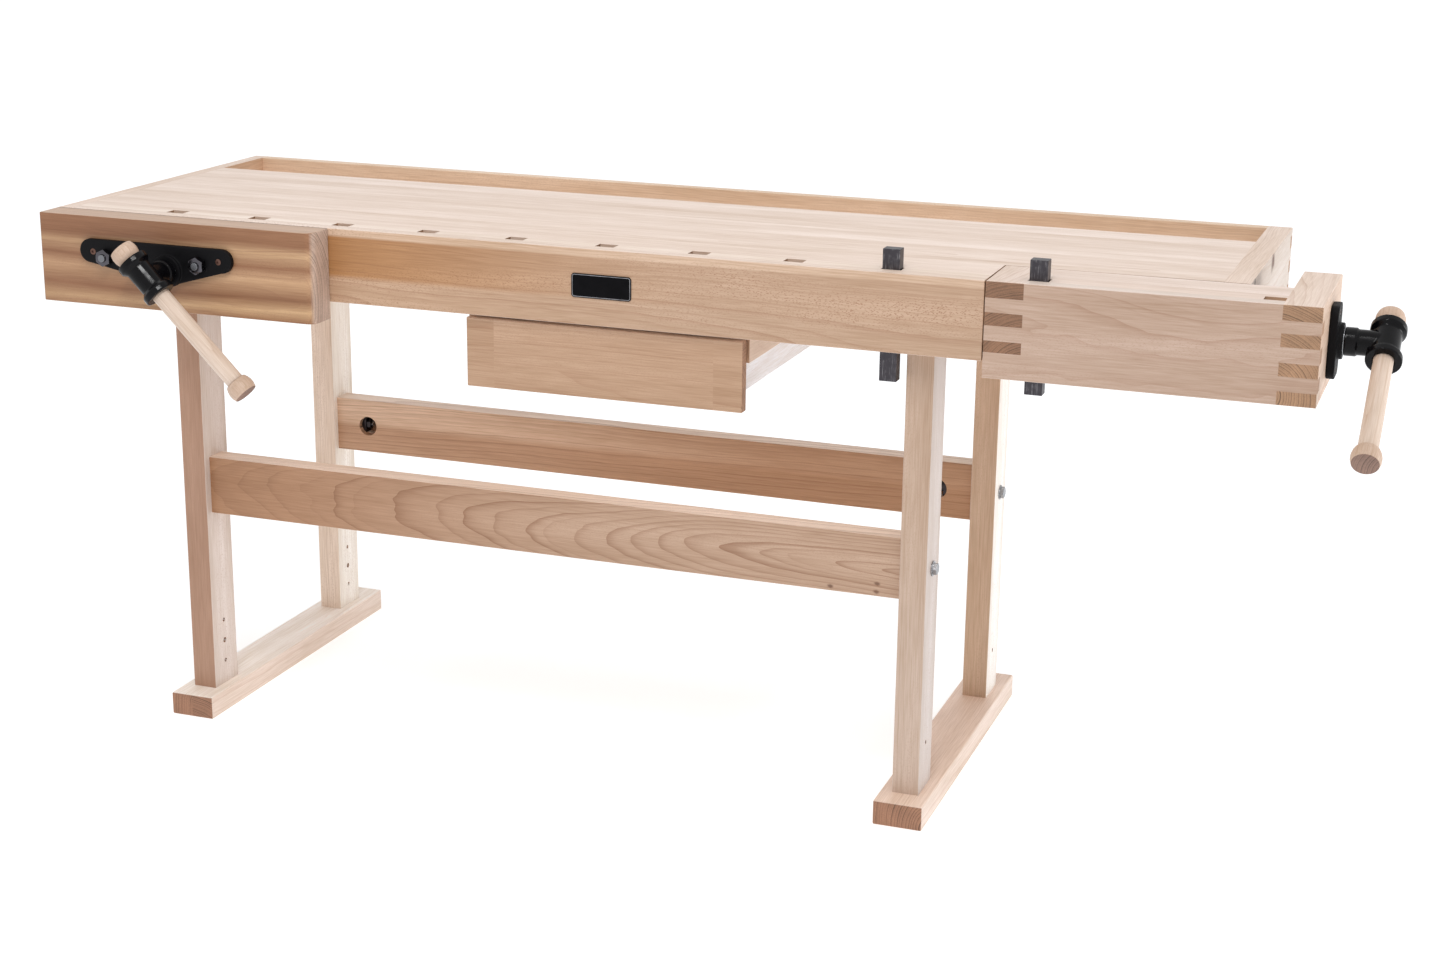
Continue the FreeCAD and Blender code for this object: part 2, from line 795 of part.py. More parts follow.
def make_slab():
    """The slab, notched at its right front corner for the tail vise."""
    length = "(right_board_start - left_end_thick)"
    depth = "(slab_back - dog_strip_back)"
    notch_x = "(apron_end - left_end_thick)"
    notch_y = "(notch_back - dog_strip_back)"
    corners = [
        ("0", "0"),
        (notch_x, "0"),
        (notch_x, notch_y),
        (length, notch_y),
        (length, depth),
        ("0", depth),
    ]
    slab = padded("Slab", "XY_Plane", corners, "slab_thick")
    place(slab, "left_end_thick", "dog_strip_back", "slab_low")
    pilots = []
    for side in ("left", "right"):
        for line in ("front_top_bolt", "back_top_bolt"):
            centre = (top_bolt_x(side), line)
            span = ("slab_low", "slab_low + top_bolt_in_slab + bolt_nut_fit")
            pilots.append(round_bar("z", centre, span, "bolt_wide + 2 * bolt_nut_fit"))
    pilots.append(strip_shape("0"))
    piece("worktop_slab", cut(slab, *pilots))


def back_fingers(x):
    """The back board's finger tips, in the span of one end board."""
    y = ("tray_back", "top_depth")
    for number in range(FINGERS_AT_BACK):
        top = f"(bench_height - finger_drop - {number} * 2 * finger_height)"
        yield block(x, y, (f"{top} - finger_height", top))


def make_end_boards():
    """End boards across the bench. The right one has a tongue inside the tail vise, for its nut."""
    left_x = ("0", "left_end_thick")
    left = block(left_x, ("0", "top_depth"), ("apron_low", "bench_height"))
    piece("end_board_left", cut(left, *back_fingers(left_x)))
    right_x = ("right_board_start", "top_length")
    board = block(right_x, ("notch_back", "top_depth"), ("apron_low", "bench_height"))
    tongue_z = ("apron_low", "bench_height - tongue_board_drop")
    tongue = block(right_x, ("tongue_board_front", "notch_back"), tongue_z)
    cuts = list(back_fingers(right_x))
    cuts.append(round_bar("x", ("tail_axis_y", "tail_axis_z"), right_x, "nut_wide + 2 * wood_fit"))
    cuts.append(guide_bar_shape(right_x, "guide_fit"))
    piece("end_board_right", cut(joined(board, tongue), *cuts))


def make_back_board():
    """The tray's back board, finger jointed into both end boards, grooved for the tray floor."""
    x = ("left_end_thick", "right_board_start")
    body = block(x, ("tray_back", "top_depth"), ("apron_low", "bench_height"))
    fingers = list(back_fingers(("0", "left_end_thick")))
    fingers += list(back_fingers(("right_board_start", "top_length")))
    groove_y = ("tray_back", "tray_back + tray_tongue + wood_fit")
    groove = block(x, groove_y, ("tray_floor_low", "slab_low"))
    piece("back_board", joined(cut(body, groove), *fingers))


def make_tray_floor():
    """Plywood under the slab's back edge, with its own back edge in the back board."""
    floor = block(
        ("left_end_thick", "right_board_start"),
        ("slab_back - tray_floor_lap", "tray_back + tray_tongue"),
        ("tray_floor_low", "slab_low"),
    )
    piece("tray_floor", floor)


def make_name_plate():
    """A blank plate with rounded corners on the apron."""
    corners = [("0", "0"), ("badge_long", "0"), ("badge_long", "badge_high"), ("0", "badge_high")]
    plate = padded("NamePlate", "XZ_Plane", corners, "badge_thick")
    rounded(plate, "badge_corner", lambda edge: runs_along(edge, (0, 1, 0)))
    place(plate, "badge_start", "0", "bench_height - badge_drop - badge_high")
    piece("name_plate", plate)


# ---------------------------------------------------------------- front vise
def plate_screw_at(side):
    """Where a wood screw holds the front plate, left (-) or right (+) of its middle."""
    return f"front_plate_middle {side} plate_screw_spread", "plate_screw_z"


def at_free_corner(edge):
    """Is it the jaw's upright edge at its free end, on the side of the plate?"""
    middle = edge.CenterOfMass
    past_half = middle.x > value_of("jaw_length / 2") and middle.y < value_of("-jaw_thick / 2")
    return past_half and runs_along(edge, (0, 0, 1))


def make_front_jaw():
    """The wooden jaw: rounded at its free end, bored for the screw, ring, rods and plate screws."""
    corners = [("0", "0"), ("jaw_length", "0"), ("jaw_length", "jaw_height"), ("0", "jaw_height")]
    jaw = padded("Jaw", "XZ_Plane", corners, "jaw_thick")
    rounded(jaw, "jaw_corner", at_free_corner)
    place(jaw, "0", "jaw_back", "jaw_low")
    through = ("jaw_face", "jaw_back")
    axis = ("front_axis_x", "front_axis_z")
    ring_seat = ("jaw_face", "jaw_face + thrust_gap + ring_long + ring_room")
    cuts = [
        round_bar("y", axis, through, "screw_hole"),
        round_bar("y", axis, ring_seat, "ring_wide + 2 * ring_room"),
    ]
    for side in ("-", "+"):
        cuts.append(round_bar("y", front_rod_centre(side), through, "rod_wide + 2 * wood_screw_fit"))
        depth = ("jaw_face", "jaw_face + wood_screw_long - front_plate_thick + wood_screw_fit")
        cuts.append(round_bar("y", plate_screw_at(side), depth, "wood_screw_wide + 2 * wood_screw_fit"))
    piece("front_jaw", cut(jaw, *cuts))


def make_front_plate():
    """The cast plate: a flat top, round ends, and lower edges that fall to under the screw."""
    end = "(front_plate_half - front_plate_end)"
    foot = "(front_plate_rise - 2 * front_plate_end)"
    corners = [
        (f"-{end}", "front_plate_rise"),
        (f"-{end}", foot),
        ("front_plate_offset - front_plate_nose", "-front_plate_fall"),
        ("front_plate_offset + front_plate_nose", "-front_plate_fall"),
        (end, foot),
        (end, "front_plate_rise"),
    ]
    outline = padded("PlateMiddle", "XZ_Plane", corners, "front_plate_thick")
    place(outline, "front_plate_middle", "jaw_face", "front_axis_z")
    body_y = ("jaw_face - front_plate_thick", "jaw_face")
    boss_y = ("jaw_face - front_plate_thick - front_boss_long", "jaw_face")
    axis = ("front_axis_x", "front_axis_z")
    solids = [outline, round_bar("y", axis, boss_y, "boss_wide")]
    cuts = [round_bar("y", axis, boss_y, "screw_wide + 2 * running_fit")]
    for side in ("-", "+"):
        lobe = (f"front_plate_middle {side} {end}", "front_plate_top - front_plate_end")
        solids.append(round_bar("y", lobe, body_y, "2 * front_plate_end"))
        cuts.append(round_bar("y", front_rod_centre(side), body_y, "stub_wide + 2 * wood_screw_fit"))
        cuts += countersunk(plate_screw_at(side), body_y)
    piece("front_plate", cut(joined(*solids), *cuts))


def countersunk(centre, plate_y):
    """A wood screw's hole through a plate that faces -Y, with a seat for its head."""
    head_y = (plate_y[0], f"{plate_y[0]} + wood_screw_head_high")
    return [
        round_bar("y", centre, plate_y, "wood_screw_wide + 2 * wood_screw_fit"),
        round_bar("y", centre, head_y, "wood_screw_head + 2 * wood_screw_fit"),
    ]


def make_front_plate_screws():
    start = "(jaw_face - front_plate_thick)"
    screws = []
    for side in ("-", "+"):
        centre = plate_screw_at(side)
        head = round_bar("y", centre, (start, f"{start} + wood_screw_head_high"), "wood_screw_head")
        shank = round_bar("y", centre, (start, f"{start} + wood_screw_long"), "wood_screw_wide")
        screws.append(joined(head, shank))
    piece("front_plate_screws", together(*screws))


def make_front_rods():
    """Guide rods with a thinner stub through the plate, and each stub's washer and nut."""
    rods = []
    nuts = []
    plate_face = "(jaw_face - front_plate_thick)"
    hole_wide = "stub_wide + 2 * wood_screw_fit"
    nut_seat = f"({plate_face} - washer_thick)"
    nut_face = f"({nut_seat} - rod_nut_high)"
    for side in ("-", "+"):
        centre = front_rod_centre(side)
        rod = round_bar("y", centre, ("jaw_face", "rod_end"), "rod_wide")
        stub_y = (f"{nut_face} - stub_tail", "jaw_face + washer_thick")
        stub = round_bar("y", centre, stub_y, "stub_wide")
        rods.append(joined(rod, stub))
        washer_y = (nut_seat, plate_face)
        washer = round_bar("y", centre, washer_y, "rod_washer_wide")
        nuts.append(cut(washer, round_bar("y", centre, washer_y, hole_wide)))
        nut_y = (nut_face, nut_seat)
        nut = hex_bar("y", centre, nut_y, "rod_nut_flats")
        nuts.append(cut(nut, round_bar("y", centre, nut_y, hole_wide)))
    piece("front_guide_rods", together(*rods))
    piece("front_rod_nuts", together(*nuts))


def make_front_sleeves():
    """Flanged sleeves behind the dog strip, in which the guide rods run."""
    sleeves = []
    for side in ("-", "+"):
        centre = front_rod_centre(side)
        barrel_y = ("dog_strip_back", "dog_strip_back + sleeve_long")
        flange_y = ("dog_strip_back", "dog_strip_back + sleeve_flange_thick")
        solid = joined(
            round_bar("y", centre, barrel_y, "sleeve_wide"),
            round_bar("y", centre, flange_y, "sleeve_flange_wide"),
        )
        sleeves.append(cut(solid, round_bar("y", centre, barrel_y, "rod_wide + 2 * running_fit")))
    piece("front_guide_sleeves", together(*sleeves))


def make_front_nut():
    """The fixed nut behind the apron, with a flat flange on the dog strip."""
    axis = ("front_axis_x", "front_axis_z")
    barrel_y = ("dog_strip_back", "dog_strip_back + nut_long")
    flange = block(
        ("front_axis_x - front_nut_flange_long / 2", "front_axis_x + front_nut_flange_long / 2"),
        ("dog_strip_back", "dog_strip_back + front_nut_flange_thick"),
        ("front_axis_z - nut_wide / 2", "front_axis_z + nut_wide / 2"),
    )
    solid = joined(round_bar("y", axis, barrel_y, "nut_wide"), flange)
    piece("front_nut", cut(solid, round_bar("y", axis, barrel_y, "screw_wide + 2 * running_fit")))


# ---------------------------------------------------------------- vise screws and handles
def make_front_screw():
    """The screw from inside the handle head back through the nut."""
    axis = ("front_axis_x", "front_axis_z")
    start = "front_head_y + head_wide / 2"
    piece("front_screw", round_bar("y", axis, (start, "front_screw_end"), "screw_wide"))


def make_tail_screw():
    axis = ("tail_axis_y", "tail_axis_z")
    span = ("right_board_start - tail_screw_inside", "tail_head_x - head_wide / 2")
    piece("tail_screw", round_bar("x", axis, span, "screw_wide"))


def ring_on(axis, centre, span, outer, bore):
    return cut(round_bar(axis, centre, span, outer), round_bar(axis, centre, span, bore))


def make_front_rings():
    """The retaining ring behind the plate and the thrust washer before its boss."""
    axis = ("front_axis_x", "front_axis_z")
    ring_start = "(jaw_face + thrust_gap)"
    washer_end = "(jaw_face - front_plate_thick - front_boss_long)"
    bore = "screw_wide + 2 * running_fit"
    ring = ring_on("y", axis, (ring_start, f"{ring_start} + ring_long"), "ring_wide", bore)
    washer_span = (f"{washer_end} - thrust_washer_thick", washer_end)
    washer = ring_on("y", axis, washer_span, "thrust_washer_wide", bore)
    piece("front_screw_rings", together(ring, washer))


def make_tail_rings():
    axis = ("tail_axis_y", "tail_axis_z")
    ring_end = "(tail_end - thrust_gap)"
    washer_start = "(tail_end + tail_plate_thick + tail_boss_long)"
    bore = "screw_wide + 2 * running_fit"
    ring = ring_on("x", axis, (f"{ring_end} - ring_long", ring_end), "ring_wide", bore)
    washer_span = (washer_start, f"{washer_start} + thrust_washer_thick")
    washer = ring_on("x", axis, washer_span, "thrust_washer_wide", bore)
    piece("tail_screw_rings", together(ring, washer))


def head_profile():
    """Half the section of the handle socket: a barrel with a flared rim at both ends."""
    barrel = "head_wide / 2"
    rim = "head_rim_wide / 2"
    flare_start = "(head_half - head_rim_long - head_flare)"
    rim_start = "(head_half - head_rim_long)"
    return [
        ("0", "-head_half"),
        (rim, "-head_half"),
        (rim, f"-{rim_start}"),
        (barrel, f"-{flare_start}"),
        (barrel, flare_start),
        (rim, rim_start),
        (rim, "head_half"),
        ("0", "head_half"),
    ]


def handle_head(label, axis, reach, base_long, collar_long):
    """A socket for the handle on a neck and collar that lie along the screw.

    Built about the socket's centre, with the handle along Z and the screw along axis.
    base_long is what lies between the jaw and the collar.
    """
    barrel = turned("Socket", head_profile())
    collar_far = f"({reach} - {base_long})"
    if axis == "y":
        neck_span = ("0", collar_far)
        collar_span = (f"{collar_far} - {collar_long}", collar_far)
        shaft_span = ("head_wide / 2", collar_far)
    else:
        neck_span = (f"-{collar_far}", "0")
        collar_span = (f"-{collar_far}", f"-({collar_far} - {collar_long})")
        shaft_span = (f"-{collar_far}", "-head_wide / 2")
    neck = round_bar(axis, ("0", "0"), neck_span, "neck_wide", local=True)
    collar = round_bar(axis, ("0", "0"), collar_span, "collar_wide", local=True)
    bore = round_bar("z", ("0", "0"), ("-head_half", "head_half"), "handle_hole", local=True)
    shaft = round_bar(axis, ("0", "0"), shaft_span, "screw_wide + 2 * running_fit", local=True)
    return piece(label, cut(joined(barrel, neck, collar), bore, shaft))


def swing(thing, axis, tilt, x, y, z):
    """Turns a part built about a socket's centre by the handle's tilt, about the screw's axis."""
    turn_about = {"x": FreeCAD.Vector(-1, 0, 0), "y": FreeCAD.Vector(0, -1, 0)}
    thing.Placement.Rotation = FreeCAD.Rotation(turn_about[axis], value_of(tilt))
    place(thing, x, y, z)
    thing.setExpression("Placement.Rotation.Angle", linked(tilt))


def swing_front(thing):
    swing(thing, "y", "front_handle_tilt", "front_axis_x", "front_head_y", "front_axis_z")


def swing_tail(thing):
    swing(thing, "x", "tail_handle_tilt", "tail_head_x", "tail_axis_y", "tail_axis_z")


def make_heads():
    front_base = "(front_plate_thick + front_boss_long + thrust_washer_thick)"
    swing_front(handle_head("front_handle_head", "y", "front_reach", front_base, "front_collar_long"))
    tail_base = "(tail_plate_thick + tail_boss_long + thrust_washer_thick)"
    swing_tail(handle_head("tail_handle_head", "x", "tail_reach", tail_base, "tail_collar_long"))


def knob_profile(start, direction):
    """Half the section of a knob with a flat face, from its neck at start."""
    steps = (
        ("0", "0"),
        ("knob_neck_wide / 2", "0"),
        ("knob_shoulder_wide / 2", "knob_shoulder"),
        ("knob_wide / 2", "knob_belly_start"),
        ("knob_wide / 2", "knob_belly_end"),
        ("knob_face_wide / 2", "knob_long"),
        ("0", "knob_long"),
    )
    return [(across, f"{start} + {direction} * {up}") for across, up in steps]


def make_handle(prefix, swing_part):
    """A rod through the socket and a knob on each end. The upper knob rests on the socket."""
    upper = "(head_half + knob_gap)"
    lower = "(-handle_down)"
    radius = "handle_wide / 2"
    rod = turned("HandleRod", [("0", lower), (radius, lower), (radius, upper), ("0", upper)])
    swing_part(piece(f"{prefix}_handle_rod", rod))
    knobs = []
    for start, direction in ((upper, 1), (lower, -1)):
        knob = turned("Knob", knob_profile(start, direction))
        swing_part(knob)
        knobs.append(knob)
    piece(f"{prefix}_handle_knobs", together(*knobs))


# ---------------------------------------------------------------- tail vise
def finger(x, foot, head):
    """One finger tip through the front board, from its foot's depth under the top to its head's."""
    return block(x, ("0", "apron_thick"), (f"bench_height - {foot}", f"bench_height - {head}"))


def jaw_fingers(x):
    """The jaw block's finger tips in the front board, as boxes over a span in x."""
    yield finger(x, "jaw_finger_one_foot", "0")
    yield finger(x, "jaw_finger_two_foot", "jaw_finger_two_head")
    yield finger(x, "jaw_finger_three_foot", "jaw_finger_three_head")


def cap_fingers(x):
    """The end cap's finger tips in the front board, as boxes over a span in x."""
    yield finger(x, "cap_finger_one_foot", "0")
    yield finger(x, "cap_finger_two_foot", "cap_finger_two_head")
    yield finger(x, "cap_finger_three_foot", "cap_finger_three_head")
    yield finger(x, "tail_height", "cap_finger_four_head")


def strip_shape(fit):
    """The guide strip in the slab's notched edge, or the groove that it runs in."""
    x = ("right_board_start - strip_long", "right_board_start")
    if fit != "0":
        x = ("tail_start", "tail_cap_start")
    y = (f"notch_back - strip_deep - {fit}", "notch_back + strip_deep")
    return block(x, y, (f"strip_low - {fit}", f"strip_low + strip_high + {fit}"))


def guide_bar_shape(x, fit):
    """The guide bar over a span in x, with a fit round it."""
    y = (f"guide_bar_front - {fit}", f"guide_bar_front + guide_bar_wide + {fit}")
    z = (f"guide_bar_low - {fit}", f"guide_bar_low + guide_bar_high + {fit}")
    return block(x, y, z)


def make_tail_boards():
    """The front board, the dog board behind it, and the boards over and under the screw."""
    z = ("tail_low", "bench_height")
    front = block(("tail_start", "tail_end"), ("0", "apron_thick"), z)
    jaw_tips = jaw_fingers(("tail_start", "tail_jaw_end"))
    cap_tips = cap_fingers(("tail_cap_start", "tail_end"))
    piece("tail_front_board", cut(front, *jaw_tips, *cap_tips))
    inside = ("tail_jaw_end", "tail_cap_start")
    dog_board = block(inside, ("apron_thick", "tail_dog_board_back"), z)
    hole_y = ("apron_thick", "dog_strip_back")
    near_jaw = block(("tail_jaw_end", "tail_jaw_end + dog_hole_long"), hole_y, z)
    near_cap = block(("tail_cap_start - dog_hole_long", "tail_cap_start"), hole_y, z)
    piece("tail_dog_board", cut(dog_board, near_jaw, near_cap))
    behind = ("tail_dog_board_back", "tail_depth")
    top = block(inside, behind, ("bench_height - tail_top_thick", "bench_height"))
    piece("tail_top_board", cut(top, strip_shape("strip_fit")))
    bottom_z = ("tail_low", "tail_low + tail_bottom_thick")
    piece("tail_bottom_board", block(inside, behind, bottom_z))


def make_tail_jaw():
    """The block that grips against the end of the apron."""
    x = ("tail_start", "tail_jaw_end")
    core = block(x, ("apron_thick", "tail_depth"), ("tail_low", "bench_height"))
    solid = joined(core, *jaw_fingers(x))
    piece("tail_jaw_block", cut(solid, strip_shape("strip_fit")))


def make_tail_cap():
    """The cross piece at the free end, which carries the screw and the guide bar."""
    x = ("tail_cap_start", "tail_end")
    core = block(x, ("apron_thick", "tail_cap_depth"), ("tail_low", "bench_height"))
    axis = ("tail_axis_y", "tail_axis_z")
    ring_x = ("tail_end - thrust_gap - ring_long - ring_room", "tail_end")
    cuts = [
        round_bar("x", axis, x, "screw_hole"),
        round_bar("x", axis, ring_x, "ring_wide + 2 * ring_room"),
    ]
    for side in ("-", "+"):
        centre = ("tail_axis_y", f"tail_axis_z {side} tail_screw_spread")
        depth = ("tail_end - wood_screw_long + tail_plate_thick - wood_screw_fit", "tail_end")
        cuts.append(round_bar("x", centre, depth, "wood_screw_wide + 2 * wood_screw_fit"))
    piece("tail_end_cap", cut(joined(core, *cap_fingers(x)), *cuts))


def make_tail_guides():
    """The guide bar on the end cap, its saddle under the slab and the strip in the slab's edge."""
    piece("tail_guide_bar", guide_bar_shape(("guide_bar_start", "tail_cap_start"), "0"))
    x = ("saddle_start", "saddle_start + saddle_long")
    body = block(
        x,
        ("guide_bar_front - saddle_wall", "guide_bar_front + guide_bar_wide + saddle_wall"),
        ("guide_bar_low - saddle_wall", "slab_low"),
    )
    piece("tail_guide_saddle", cut(body, guide_bar_shape(x, "guide_fit")))
    piece("tail_guide_strip", strip_shape("0"))


def make_tail_nut():
    """The fixed nut: a flange on the end board's inner face and a barrel through it."""
    axis = ("tail_axis_y", "tail_axis_z")
    barrel_x = ("right_board_start - tail_nut_plate_thick", "top_length")
    flange = block(
        ("right_board_start - tail_nut_plate_thick", "right_board_start"),
        ("tongue_board_front", "tongue_board_front + tail_nut_plate_long"),
        ("apron_low", "slab_low - wood_fit"),
    )
    solid = joined(round_bar("x", axis, barrel_x, "nut_wide"), flange)
    piece("tail_nut", cut(solid, round_bar("x", axis, barrel_x, "screw_wide + 2 * running_fit")))


def make_tail_plate():
    """The cast plate on the end cap, with a boss for the screw."""
    wide = "tail_plate_wide"
    high = "tail_plate_high"
    corners = [("0", "0"), (wide, "0"), (wide, high), ("0", high)]
    plate = padded("TailPlate", "YZ_Plane", corners, "tail_plate_thick")
    rounded(plate, "tail_plate_corner", lambda edge: runs_along(edge, (1, 0, 0)))
    place(plate, "tail_end", f"tail_axis_y - {wide} / 2", f"tail_axis_z - {high} / 2")
    axis = ("tail_axis_y", "tail_axis_z")
    plate_end = "(tail_end + tail_plate_thick)"
    boss_x = ("tail_end", f"{plate_end} + tail_boss_long")
    cuts = [round_bar("x", axis, boss_x, "screw_wide + 2 * running_fit")]
    screws = []
    plate_x = ("tail_end", plate_end)
    head_x = (f"{plate_end} - wood_screw_head_high", plate_end)
    shank_x = (f"{plate_end} - wood_screw_long", plate_end)
    for side in ("-", "+"):
        centre = ("tail_axis_y", f"tail_axis_z {side} tail_screw_spread")
        cuts.append(round_bar("x", centre, plate_x, "wood_screw_wide + 2 * wood_screw_fit"))
        cuts.append(round_bar("x", centre, head_x, "wood_screw_head + 2 * wood_screw_fit"))
        head = round_bar("x", centre, head_x, "wood_screw_head")
        screws.append(joined(head, round_bar("x", centre, shank_x, "wood_screw_wide")))
    piece("tail_plate", cut(joined(plate, round_bar("x", axis, boss_x, "boss_wide")), *cuts))
    piece("tail_plate_screws", together(*screws))


# ---------------------------------------------------------------- drawer
def runner_shape(side, fit_top, fit_under, fit_side):
    """A runner tongue, or the groove round it, at the drawer's left (-1) or right (1) side."""
    face = drawer_side_face(side)
    hanger_face = f"({face} + {side} * hanger_gap)"
    x = sorted_span(f"{hanger_face} - {side} * (runner_deep + {fit_side})", hanger_face, side)
    return x, (f"runner_low - {fit_under}", f"runner_low + runner_high + {fit_top}")


def drawer_side_face(side):
    """The outer face of a drawer side."""
    if side < 0:
        return "(drawer_start + drawer_side_inset)"
    return "(drawer_end - drawer_side_inset)"


def make_drawer_front():
    front = block(
        ("drawer_start", "drawer_end"),
        ("drawer_face", "drawer_front_back"),
        ("drawer_front_low", "drawer_front_low + drawer_front_high"),
    )
    piece("drawer_front", front)


def make_drawer_sides():
    """Two sides, grooved outside for the runners and inside for the bottom."""
    sides = []
    span_y = ("drawer_front_back", "drawer_side_end")
    bottom_z = ("drawer_bottom_low - wood_fit", "drawer_bottom_low + drawer_bottom_thick")
    for side in (-1, 1):
        outer = drawer_side_face(side)
        inner = f"({outer} - {side} * drawer_side_thick)"
        board = block(
            sorted_span(inner, outer, side),
            span_y,
            ("drawer_side_low", "drawer_side_top"),
        )
        groove_x, groove_z = runner_shape(side, "runner_gap", "hanger_gap", "hanger_gap")
        runner_groove = block(groove_x, span_y, groove_z)
        groove_end = f"{inner} + {side} * (drawer_groove_deep + wood_fit)"
        bottom_groove = block(sorted_span(inner, groove_end, side), span_y, bottom_z)
        sides.append(cut(board, runner_groove, bottom_groove))
    piece("drawer_sides", together(*sides))


def drawer_inside():
    """The span in x between the drawer's sides."""
    left = f"({drawer_side_face(-1)} + drawer_side_thick)"
    right = f"({drawer_side_face(1)} - drawer_side_thick)"
    return left, right


def make_drawer_back_and_bottom():
    left, right = drawer_inside()
    bottom_top = "(drawer_bottom_low + drawer_bottom_thick)"
    back_y = ("drawer_side_end - drawer_side_thick", "drawer_side_end")
    piece("drawer_back", block((left, right), back_y, (bottom_top, "drawer_side_top")))
    bottom = block(
        (f"{left} - drawer_groove_deep", f"{right} + drawer_groove_deep"),
        ("drawer_front_back", "drawer_side_end"),
        ("drawer_bottom_low", bottom_top),
    )
    piece("drawer_bottom", bottom)


def make_drawer_hangers():
    """Boards that hang from the slab on either side of the drawer, each with a runner."""
    hangers = []
    for side in (-1, 1):
        face = f"({drawer_side_face(side)} + {side} * hanger_gap)"
        x = sorted_span(face, f"{face} + {side} * hanger_thick", side)
        length = ("hanger_start", "hanger_end")
        board = block(x, length, ("hanger_low", "slab_low"))
        nose_y = ("drawer_front_back + runner_gap", "hanger_start")
        nose = block(x, nose_y, ("hanger_low", "apron_low - hanger_nose_gap"))
        runner_x, runner_z = runner_shape(side, "0", "0", "0")
        runner = block(runner_x, length, runner_z)
        hangers.append(joined(board, nose, runner))
    piece("drawer_hangers", together(*hangers))


# ---------------------------------------------------------------- bench dogs
def make_dog(label, hole_middle):
    """A square steel dog that stands in its hole, with a bowed spring at its left side."""
    left = f"({hole_middle} - dog_wide / 2)"
    middle_y = "(dog_strip_back - dog_hole_wide / 2)"
    top = "(bench_height + dog_stand)"
    bar = block(
        (left, f"{left} + dog_wide"),
        (f"{middle_y} - dog_deep / 2", f"{middle_y} + dog_deep / 2"),
        (f"{top} - dog_long", top),
    )
    bow = f"(({left}) - ({hole_middle} - dog_hole_long / 2) - dog_spring_gap)"
    half = "(dog_spring_long / 2)"
    corners = [
        ("0", "0"),
        (f"-({bow} - dog_spring_thick)", half),
        ("0", "dog_spring_long"),
        ("0", "dog_spring_long + 2 * dog_spring_thick"),
        (f"-{bow}", f"{half} + dog_spring_thick"),
        (f"-{bow}", f"{half} - dog_spring_thick"),
        ("0", "-2 * dog_spring_thick"),
    ]
    spring = padded("DogSpring", "XZ_Plane", corners, "dog_spring_wide")
    place(spring, left, f"{middle_y} + dog_spring_wide / 2", f"{top} - dog_long + dog_spring_low")
    piece(label, together(bar, spring))


def make_dogs():
    make_dog("dog_bench", dog_centre(hole_count() - 1))
    make_dog("dog_vise", "(tail_jaw_end + dog_hole_long / 2)")


# ---------------------------------------------------------------- build and write
def check_document():
    """Every object is sound before anything is written."""
    for thing in doc.Objects:
        if "Invalid" in thing.State or "Error" in thing.State:
            raise RuntimeError(f"{thing.Name} ({thing.Label}) failed: {thing.State}")
    for label, thing in pieces.items():
        if thing.Shape.isNull() or not thing.Shape.isValid() or thing.Shape.Volume <= 0:
            raise RuntimeError(f"{label} has no sound shape")


def write_parts():
    os.makedirs("parts", exist_ok=True)
    for label, thing in pieces.items():
        thing.Shape.exportStep(os.path.join("parts", label + ".step"))
        print(label, len(thing.Shape.Solids), round(thing.Shape.Volume))


fill_sheet()
make_feet()
make_legs()
make_bearers_and_battens()
make_rails()
make_rail_fasteners()
make_apron()
make_dog_spacers()
make_slab()
make_end_boards()
make_back_board()
make_tray_floor()
make_name_plate()
make_front_jaw()
make_front_plate()
make_front_plate_screws()
make_front_rods()
make_front_sleeves()
make_front_nut()
make_front_screw()
make_tail_screw()
make_front_rings()
make_tail_rings()
make_heads()
make_handle("front", swing_front)
make_handle("tail", swing_tail)
make_tail_boards()
make_tail_jaw()
make_tail_cap()
make_tail_guides()
make_tail_nut()
make_tail_plate()
make_drawer_front()
make_drawer_sides()
make_drawer_back_and_bottom()
make_drawer_hangers()
make_dogs()
doc.recompute()
check_document()
write_parts()
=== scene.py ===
"""The looks of a cabinet maker's bench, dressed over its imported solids.

Metres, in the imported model's own frame: +X runs to the tail vise, +Y to the tool tray, +Z up.
Each section makes one piece of the bench, or a group of like pieces, in the order of assembly.
"""
import json
import math
import bmesh
import bpy
from mathutils import Matrix, Quaternion, Vector

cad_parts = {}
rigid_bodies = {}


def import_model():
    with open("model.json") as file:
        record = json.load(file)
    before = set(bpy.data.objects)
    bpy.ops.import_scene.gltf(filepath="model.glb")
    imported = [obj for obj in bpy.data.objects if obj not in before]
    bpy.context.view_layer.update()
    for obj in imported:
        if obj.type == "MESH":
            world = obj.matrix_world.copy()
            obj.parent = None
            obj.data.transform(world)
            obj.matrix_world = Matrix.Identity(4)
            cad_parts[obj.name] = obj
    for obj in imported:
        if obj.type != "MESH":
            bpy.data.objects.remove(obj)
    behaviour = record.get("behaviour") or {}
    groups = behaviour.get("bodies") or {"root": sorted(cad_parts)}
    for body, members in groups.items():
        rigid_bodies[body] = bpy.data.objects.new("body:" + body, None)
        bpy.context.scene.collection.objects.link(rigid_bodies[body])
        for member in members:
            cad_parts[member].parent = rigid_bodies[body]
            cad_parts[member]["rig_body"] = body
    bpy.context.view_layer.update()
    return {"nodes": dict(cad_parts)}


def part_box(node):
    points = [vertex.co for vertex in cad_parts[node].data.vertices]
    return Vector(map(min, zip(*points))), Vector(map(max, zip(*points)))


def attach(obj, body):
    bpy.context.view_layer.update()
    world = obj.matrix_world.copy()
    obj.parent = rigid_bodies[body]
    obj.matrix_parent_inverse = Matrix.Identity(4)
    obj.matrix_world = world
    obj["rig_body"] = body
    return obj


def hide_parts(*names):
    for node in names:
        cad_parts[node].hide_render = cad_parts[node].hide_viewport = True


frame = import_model()

